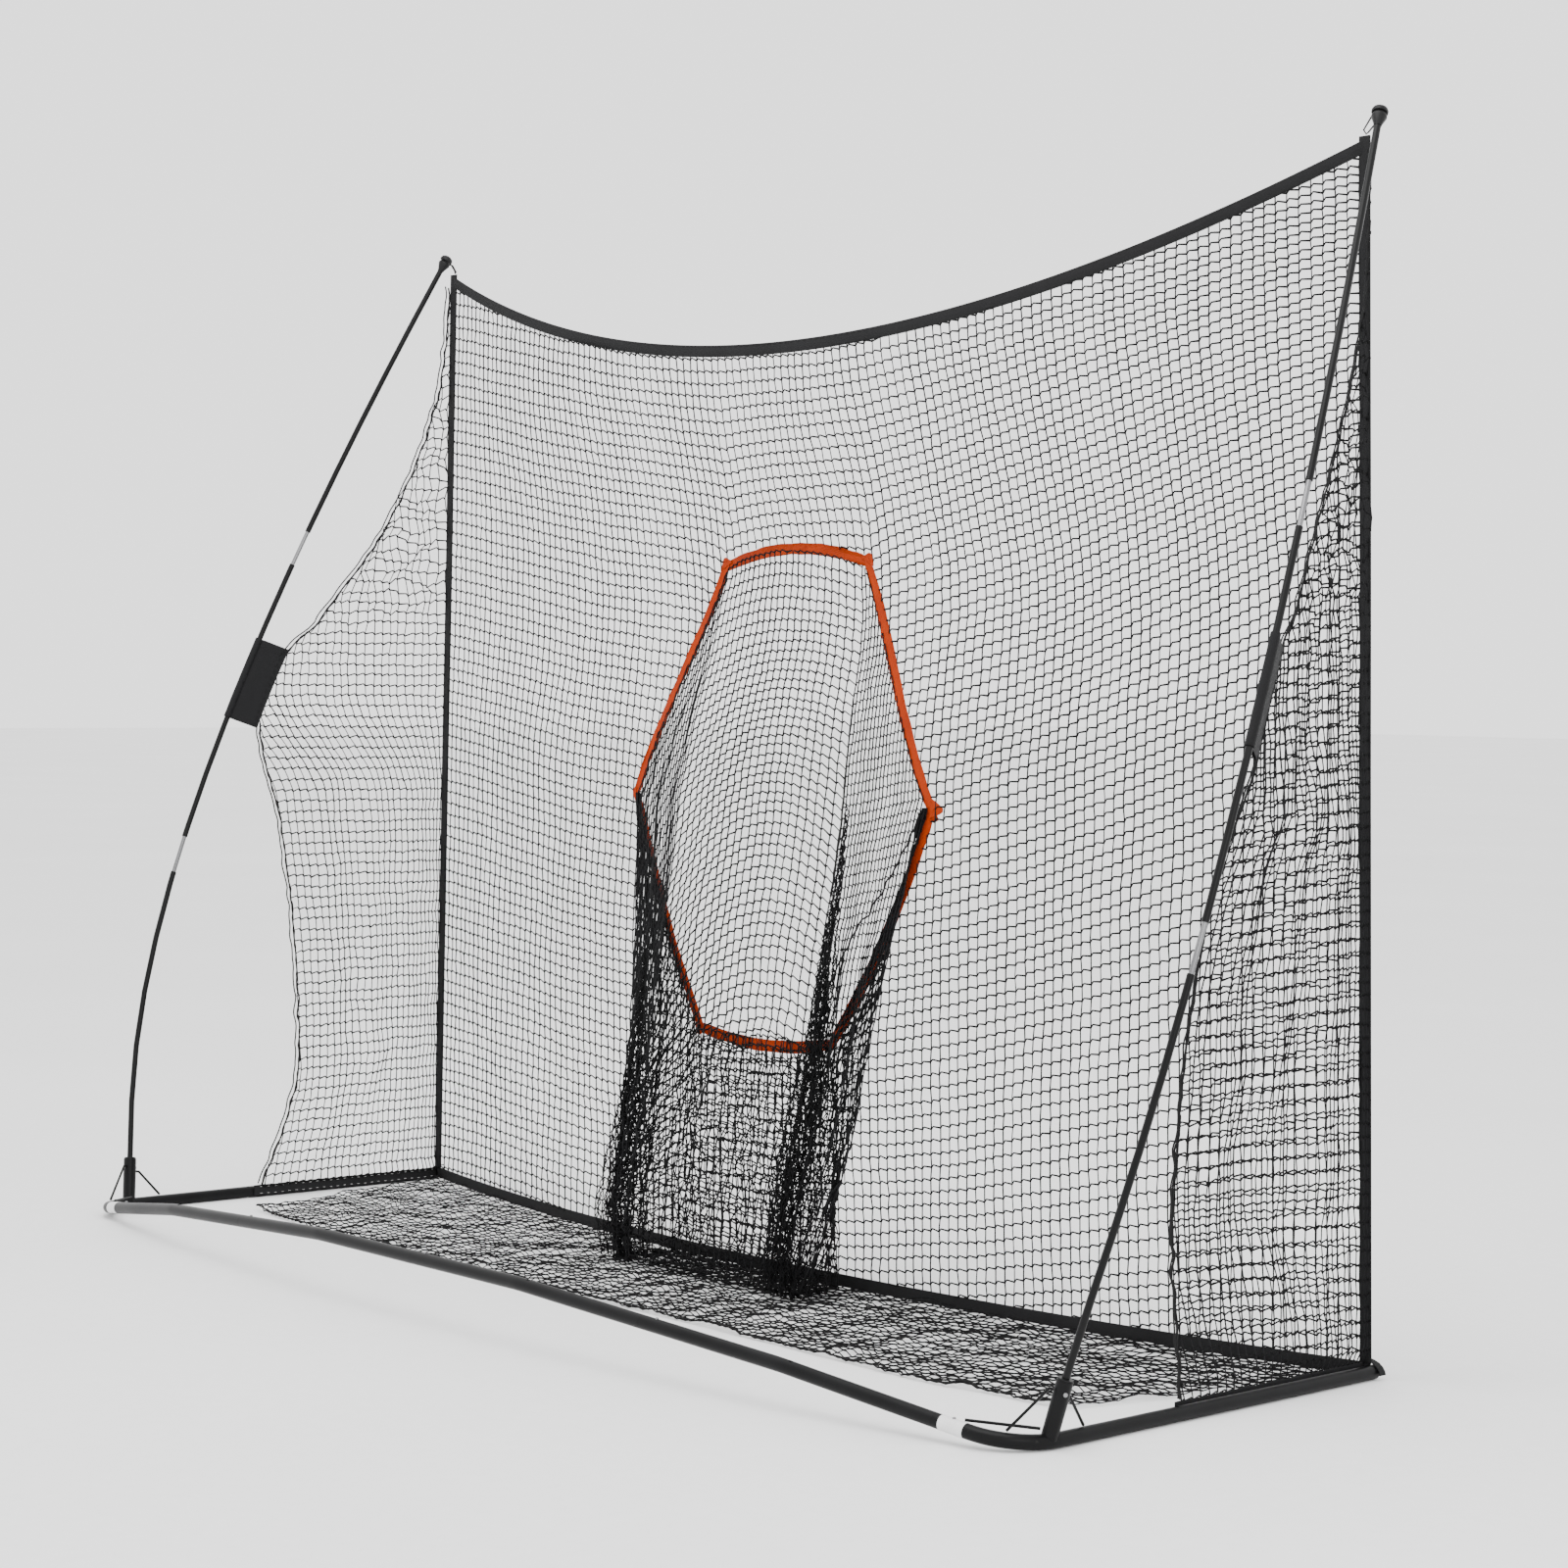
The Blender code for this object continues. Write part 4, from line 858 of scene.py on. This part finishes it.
def make_pocket_cords():
    runs = []
    for low, high, b, side in ((0.80, 1.20, 0.02, 1), (0.76, 1.0, 0.5, -1), (0.66, 0.84, 0.02, -1)):
        run = []
        for k in range(30):
            z = high + (low - high) * k / 29
            spot = fold_spot(z).lerp(outer_spot(z), b)
            run.append((mirrored(spot, side) + Vector((0.002 * wander(z, 0, 0, 0.02, side), -0.003, 0)),
                        0.7 + 0.5 * k / 29))
        runs.append(run)
    wiggle = []
    for k in range(60):
        t = k / 59
        z = 0.975 - 0.48 * t
        spot = fold_spot(z).lerp(outer_spot(z), 1.0 - 0.85 * smooth_step(t * 1.15))
        aside, above = 0.014 * wander(t, 0, 0, 0.05, 3), 0.010 * wander(t, 0, 0, 0.04, 8)
        wiggle.append((spot + Vector((aside, -0.004, above)), 0.9))
    runs.append(wiggle)
    return twine("pocket_lacing", runs, 0.0023, CORD, 1, True)


# ---------- poles' sleeves and the side nets ----------
def pole_curve(side, steps=200):
    begin, tip = SOCKET_TOP, POLE_TIP
    handles = (begin, begin + SOCKET_LEAN * 0.235, tip - TIP_ALONG * 1.631, tip)
    points, run = [], [0.0]
    for i in range(steps + 1):
        t = i / steps
        weights = ((1 - t) ** 3, 3 * t * (1 - t) ** 2, 3 * t * t * (1 - t), t ** 3)
        points.append(mirrored(sum((h * w for h, w in zip(handles, weights)), Vector()), side))
    for before, after in zip(points, points[1:]):
        run.append(run[-1] + (after - before).length)
    return points, run


CURVES = {side: pole_curve(side) for side in (-1, 1)}


def pole_point(side, at):
    points, run = CURVES[side]
    i = next((k for k in range(1, len(run)) if run[k] >= at), len(run) - 1)
    return points[i - 1].lerp(points[i], (at - run[i - 1]) / (run[i] - run[i - 1]))


def make_sleeves():
    threads = []
    for side, word in ((-1, "left"), (1, "right")):
        tail = mirrored(FLAP, side)
        stations = []
        for k in range(25):
            t = k / 24
            at = SLEEVE[0] + (SLEEVE[1] - SLEEVE[0]) * t
            centre = pole_point(side, at)
            ahead = (pole_point(side, at + 0.01) - pole_point(side, at - 0.01)).normalized()
            out = (tail - ahead * tail.dot(ahead)).normalized()
            across = ahead.cross(out)
            loose = POLE_R + 0.0022 + 0.0006 * wander(at, 0, side, 0.03, 2)
            reach = FLAP.length * (1 - 0.02 * math.sin(math.pi * t))
            drop = ahead * tail.dot(ahead)

            def flap(d, face, seed):
                pucker = 0.0018 * wander(at, d * 0.05, side, 0.035, seed) * (1 - d) ** 0.3
                return centre + (out * reach + drop) * d + across * face * (0.0012 + 0.004 * (1 - d) + pucker)

            down = (1.0, 0.93, 0.8, 0.62, 0.45, 0.3, 0.2)
            chain = [flap(d, 1, 5) for d in down]
            for m in range(13):
                turn = 0.42 + (2 * math.pi - 0.84) * m / 12
                chain.append(centre + out * math.cos(turn) * loose + across * math.sin(turn) * loose)
            stations.append(chain + [flap(d, -1, 11) for d in reversed(down)])
            if k % 2 == 0 and k < 24:
                for d in (0.9, 0.84):
                    for face in (1, -1):
                        a = centre + (out * reach + drop) * d + across * face * 0.0036
                        threads.append([(a, 1.0), (a + ahead * 0.009, 1.0)])
        sleeve = band(f"sleeve_cloth_{word}", stations, NYLON, 0.0011, 0.0003)
        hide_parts(f"pole_sleeve_{word}")
    twine("sleeve_stitches", threads, 0.0004, CORD)


SIDE_EDGE = ((0.02, 1.4700, 0.500), (0.15, 1.430, 0.470), (0.298, 1.397, 0.447), (0.5, 1.408, 0.443),
             (0.698, 1.437, 0.444), (0.9, 1.490, 0.446), (1.116, 1.579, 0.447), (1.278, 1.571, 0.388),
             (1.36, 1.540, 0.310), (1.559, 1.487, 0.178), (1.75, 1.462, 0.085), (1.94, 1.448, 0.024),
             (2.19, 1.4365, 0.006))


def side_edge(z):
    x, y = line_table(SIDE_EDGE, z)
    return Vector((x, -y, z))


def strap_back(z):
    x = panel_half(z) - 0.004
    return Vector((x, panel_y(x, z) - 0.004, z))


def make_side_nets():
    up, across = 86, 30
    for side, word in ((-1, "left"), (1, "right")):
        def span(z):
            return (side_edge(z) - strap_back(z)).length

        def reach(i, z):
            full = i / across
            mix = smooth_step((z - 0.95) / 0.25)
            return full * 0.60 * mix + full ** 1.35 * 0.508 * (1 - mix)     # low down, packed at the strap

        def place(i, j, side=side):
            z = 0.028 + j * SIDE_MESH
            wide = span(z)
            d = reach(i, z)
            t = min(d / wide, 1.0)
            foot = smooth_step(z / 0.25)
            spot = strap_back(z).lerp(side_edge(z), t)
            wave = math.sin(d * 52 + 2.2 * z + side) * 0.5 + wander(d, 0, z, 0.16, 3 + side)
            push = 0.018 * wave * foot * math.sin(math.pi * t) * (0.5 + 0.5 * (z < 1.0))
            spot += Vector((push, 0.25 * push, 0))
            ruffle = smooth_step((z - 1.28) / 0.2) * (1 - smooth_step((z - 1.95) / 0.2))
            spot.z += 0.012 * wander(d, 2, z, 0.05, 6) * (0.35 + 1.1 * ruffle) * foot
            spot.x += 0.006 * wander(d, 4, z, 0.05, 9) * (0.4 + ruffle) * foot
            spot.y += 0.012 * wander(d, 8, z, 0.06, 12) * (0.3 + ruffle) * foot
            if z < 0.05:
                spot.x = min(spot.x, arm_x(spot.y) - 0.017)
            return mirrored(spot, side)

        def keep(point, i, j):
            z = 0.028 + j * SIDE_MESH
            return z < 2.15 and reach(max(i - 1, 0), z) < span(z) - 0.003

        def shift(point, loose):
            return loose * (0.6 + 1.4 * smooth_step((point.z - 1.2) / 0.3))

        rows, columns = knot_net(f"side_netting_{word}", across, up, place, keep, shift, loose=0.0022,
                                 hook=0.0026)
        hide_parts(f"side_net_{word}")
        edge, hem = [], []
        for k in range(260):
            z = 0.03 + 2.155 * k / 259
            if SLEEVE_LOW_Z < z < SLEEVE_HIGH_Z:
                if edge:
                    hem.append(edge)
                edge = []
                continue
            stray = Vector((0.004 * wander(z, 0, 0, 0.03, side), 0.006 * wander(z, 0, 0, 0.035, 4), 0))
            edge.append((mirrored(side_edge(z) + stray, side), 1.0 + 0.5 * (k % 4 == 0)))
        hem.append(edge)
        loops = [[(p + Vector((0.003 * side, -0.008 - 0.004 * wander(p.z, 1, 1, 0.04, 2), 0.003)), 0.8)
                  for p, _ in part] for part in hem]
        hem_twine = twine(f"side_net_edge_{word}", hem + loops, 0.002, CORD)


def make_floor_net():
    across, up = 122, 34

    def place(i, j):
        s = 2 * i / across - 1
        t = j / up
        front_x = s * (panel_half(0) - 0.03)
        front_y = panel_y(front_x, 0) - 0.006
        rear_x = s * 1.308
        rear_y = -(0.607 + 0.045 * min(1.0, (1 - abs(s)) / 0.25))
        x, y = front_x + (rear_x - front_x) * t, front_y + (rear_y - front_y) * t
        fade = math.sin(math.pi * min(1.0, 0.12 + 0.88 * t)) + 0.3
        x += 0.018 * wander(x, y, 0, 0.14, 3) * fade * (1 - s ** 6)
        y += 0.020 * wander(x, y, 0, 0.15, 8) * fade * min(1.0, t * 4)
        y = min(y, panel_y(x, 0) - 0.003)
        limit = arm_x(y) - TUBE_R - 0.006
        lift = (0.0045 + 0.013 * max(0.0, wander(x, y, 0, 0.07, 5))
                + 0.006 * max(0.0, wander(x, y, 0, 0.03, 2)))
        return Vector((max(-limit, min(limit, x)), max(-0.672, y), lift))

    rows, columns = knot_net("floor_netting", across, up, place, everywhere, evenly, loose=0.0022,
                             lift=AHEAD, row_size=0.00125, column_size=0.0011, hook=0.0022)
    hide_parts("floor_net")
    hem = [(place(i / 2, up) + Vector((0.002 * (i % 2), 0.003 * (i % 3), 0.001)), 1.0 + 0.4 * (i % 2))
           for i in range(2 * across + 1)]
    edge = twine("floor_net_edge", [hem], 0.0016, CORD)


# ---------- small fittings ----------
def make_labels():
    """Blank white wraps beside the rear bar's end joints."""
    joint, out = Vector((1.3404, -0.9423, 0.0340)), Vector((0.977, 0.168, -0.131)).normalized()
    for side, word in ((-1, "left"), (1, "right")):
        axis = mirrored(out, side)
        centre = mirrored(joint, side) + axis * 0.012
        flat = axis.cross(UP).normalized()
        high = flat.cross(axis).normalized()
        stations = []
        for k in range(9):
            ring = centre + axis * (0.05 * k / 8)
            stations.append([ring + (flat * math.cos(a) + high * math.sin(a)) * (TUBE_R + 0.0005)
                             for a in (math.radians(-60 + 300 * m / 26) for m in range(27))])
        band(f"blank_label_{word}", stations, FILM, 0.0003, 0.0001)


def make_corner_tabs():
    """Folded webbing ends that close the panel's lower corners over the tube ends."""
    for side, word in ((-1, "left"), (1, "right")):
        stations = []
        for x, y, z in ((1.448, 0.0035, 0.034), (1.456, 0.0050, 0.0335), (1.466, 0.0058, 0.0312),
                        (1.476, 0.0062, 0.0275), (1.484, 0.0064, 0.0215), (1.4885, 0.0066, 0.0150),
                        (1.4900, 0.0068, 0.0085)):
            stations.append([Vector((side * x, y - 0.011 + 0.0055 * k, z)) for k in range(4)])
        band(f"corner_tab_{word}", stations, WEBBING, 0.0018)


def make_rivets():
    for side, word in ((-1, "left"), (1, "right")):
        lean = mirrored(SOCKET_LEAN, side)
        foot = mirrored(SOCKET_TOP, side)
        for n, turn in enumerate((35, 215)):
            across = lean.cross(UP).normalized()
            face = Matrix.Rotation(math.radians(turn), 3, lean) @ across
            bm = bmesh.new()
            bmesh.ops.create_cone(bm, cap_ends=True, cap_tris=False, segments=20, radius1=0.0042,
                                  radius2=0.0036, depth=0.0022)
            top = max(bm.faces, key=lambda f: f.calc_center_median().z)
            bmesh.ops.bevel(bm, geom=list(top.edges), offset=0.0008, segments=3, profile=0.5,
                            affect="EDGES", material=-1)
            quat = UP.rotation_difference(face)
            bmesh.ops.rotate(bm, verts=bm.verts, cent=(0, 0, 0), matrix=quat.to_matrix())
            bmesh.ops.translate(bm, verts=bm.verts, vec=foot - lean * 0.02 + face * 0.0148)
            add_piece(f"socket_rivet_{word}_{n}", bm, STEEL)


def make_corner_cords():
    for side, word in ((-1, "left"), (1, "right")):
        axis = mirrored(TIP_ALONG, side)
        groove = pole_point(side, CURVES[side][1][-1]) + axis * 0.0258
        foot = Vector((side * (TOP_HALF - STRAP / 2), 0.0, NET_HEIGHT + 0.004))
        down = foot - groove
        flat = (down - axis * down.dot(axis)).normalized()
        across = axis.cross(flat).normalized()
        knob = 0.0152
        wrap = knob * 0.58 + 0.0018
        spots = []
        for i in range(21):
            turn = math.radians(80 + 200 * i / 20)
            spots.append(groove + (flat * math.cos(turn) + across * math.sin(turn)) * wrap)
        lip = groove + flat * (knob + 0.0045)
        spots += [lip - across * 0.007, foot - across * 0.005 + UP * 0.006, foot + UP * 0.0005,
                  foot + across * 0.005 + UP * 0.006, lip + across * 0.007, spots[0]]
        cord = twine(f"tip_loop_{word}", [[(spot, 1.0) for spot in spots]], 0.0015, CORD,
                     2, True)
        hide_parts(f"corner_cord_{word}")


# ---------- the CAD's own hard parts ----------
def dress_nodes():
    looks = ((TUBE, ("rear_tube", "corner_tube", "pole_socket", "socket_brace", "corner_rod")),
             (POLE, ("pole_lower", "pole_middle", "pole_upper")),
             (STEEL, ("ferrule", "snap_button", "button_spring")),
             (PLASTIC, ("pole_cup", "arm_end_cap", "pole_tip_knob")))
    for word, thing in nodes.items():
        match = [look for look, starts in looks if word.startswith(starts)]
        if not match:
            continue
        slots = thing.data.materials
        if not len(slots):
            slots.append(None)
        for k in range(len(slots)):
            slots[k] = match[0]
        for face in thing.data.polygons:
            face.use_smooth = True
        weld = thing.modifiers.new("joined", "WELD")
        weld.merge_threshold = 0.00002
        split = thing.modifiers.new("crisp_edges", "EDGE_SPLIT")
        split.split_angle = math.radians(34)


# ---------- studio ----------
def make_studio():
    bm = bmesh.new()
    bmesh.ops.create_grid(bm, x_segments=2, y_segments=2, size=60)
    bmesh.ops.translate(bm, verts=bm.verts, vec=(0, 0, -0.0006))
    mesh = bpy.data.meshes.new("studio_floor")
    bm.to_mesh(mesh)
    bm.free()
    floor = bpy.data.objects.new("studio_floor", mesh)
    bpy.context.scene.collection.objects.link(floor)
    floor.data.materials.append(finish("pale_floor", (0.86, 0.86, 0.86), (0.90, 0.90, 0.90), 0.7, 0.8,
                                       broad=0.6, fine=30, bump=0.02))
    world = bpy.data.worlds.new("studio_world")
    world.use_nodes = True
    sky = world.node_tree.nodes["Background"]
    sky.inputs[0].default_value, sky.inputs[1].default_value = (1, 1, 1, 1), 2.0
    bpy.context.scene.world = world
    for name, spot, aim, size, power in (("overhead", (1.0, -1.5, 5.5), (0, 0, 0.8), 4.0, 200),
                                         ("side_fill", (6.0, -2.0, 3.0), (0, 0, 1.0), 3.0, 60)):
        lamp = bpy.data.lights.new(name, "AREA")
        lamp.energy, lamp.size, lamp.shape = power, size, "SQUARE"
        thing = bpy.data.objects.new(name, lamp)
        thing.location = spot
        thing.rotation_euler = (Vector(aim) - Vector(spot)).to_track_quat("-Z", "Y").to_euler()
        bpy.context.scene.collection.objects.link(thing)


make_main_net()
make_straps()
make_ring()
pocket, pocket_pieces = make_pocket()
gathers = make_bundles()
lacing = make_pocket_cords()
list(pocket_pieces)
make_sleeves()
make_side_nets()
make_floor_net()
make_labels()
make_rivets()
make_corner_tabs()
make_corner_cords()
dress_nodes()
make_studio()
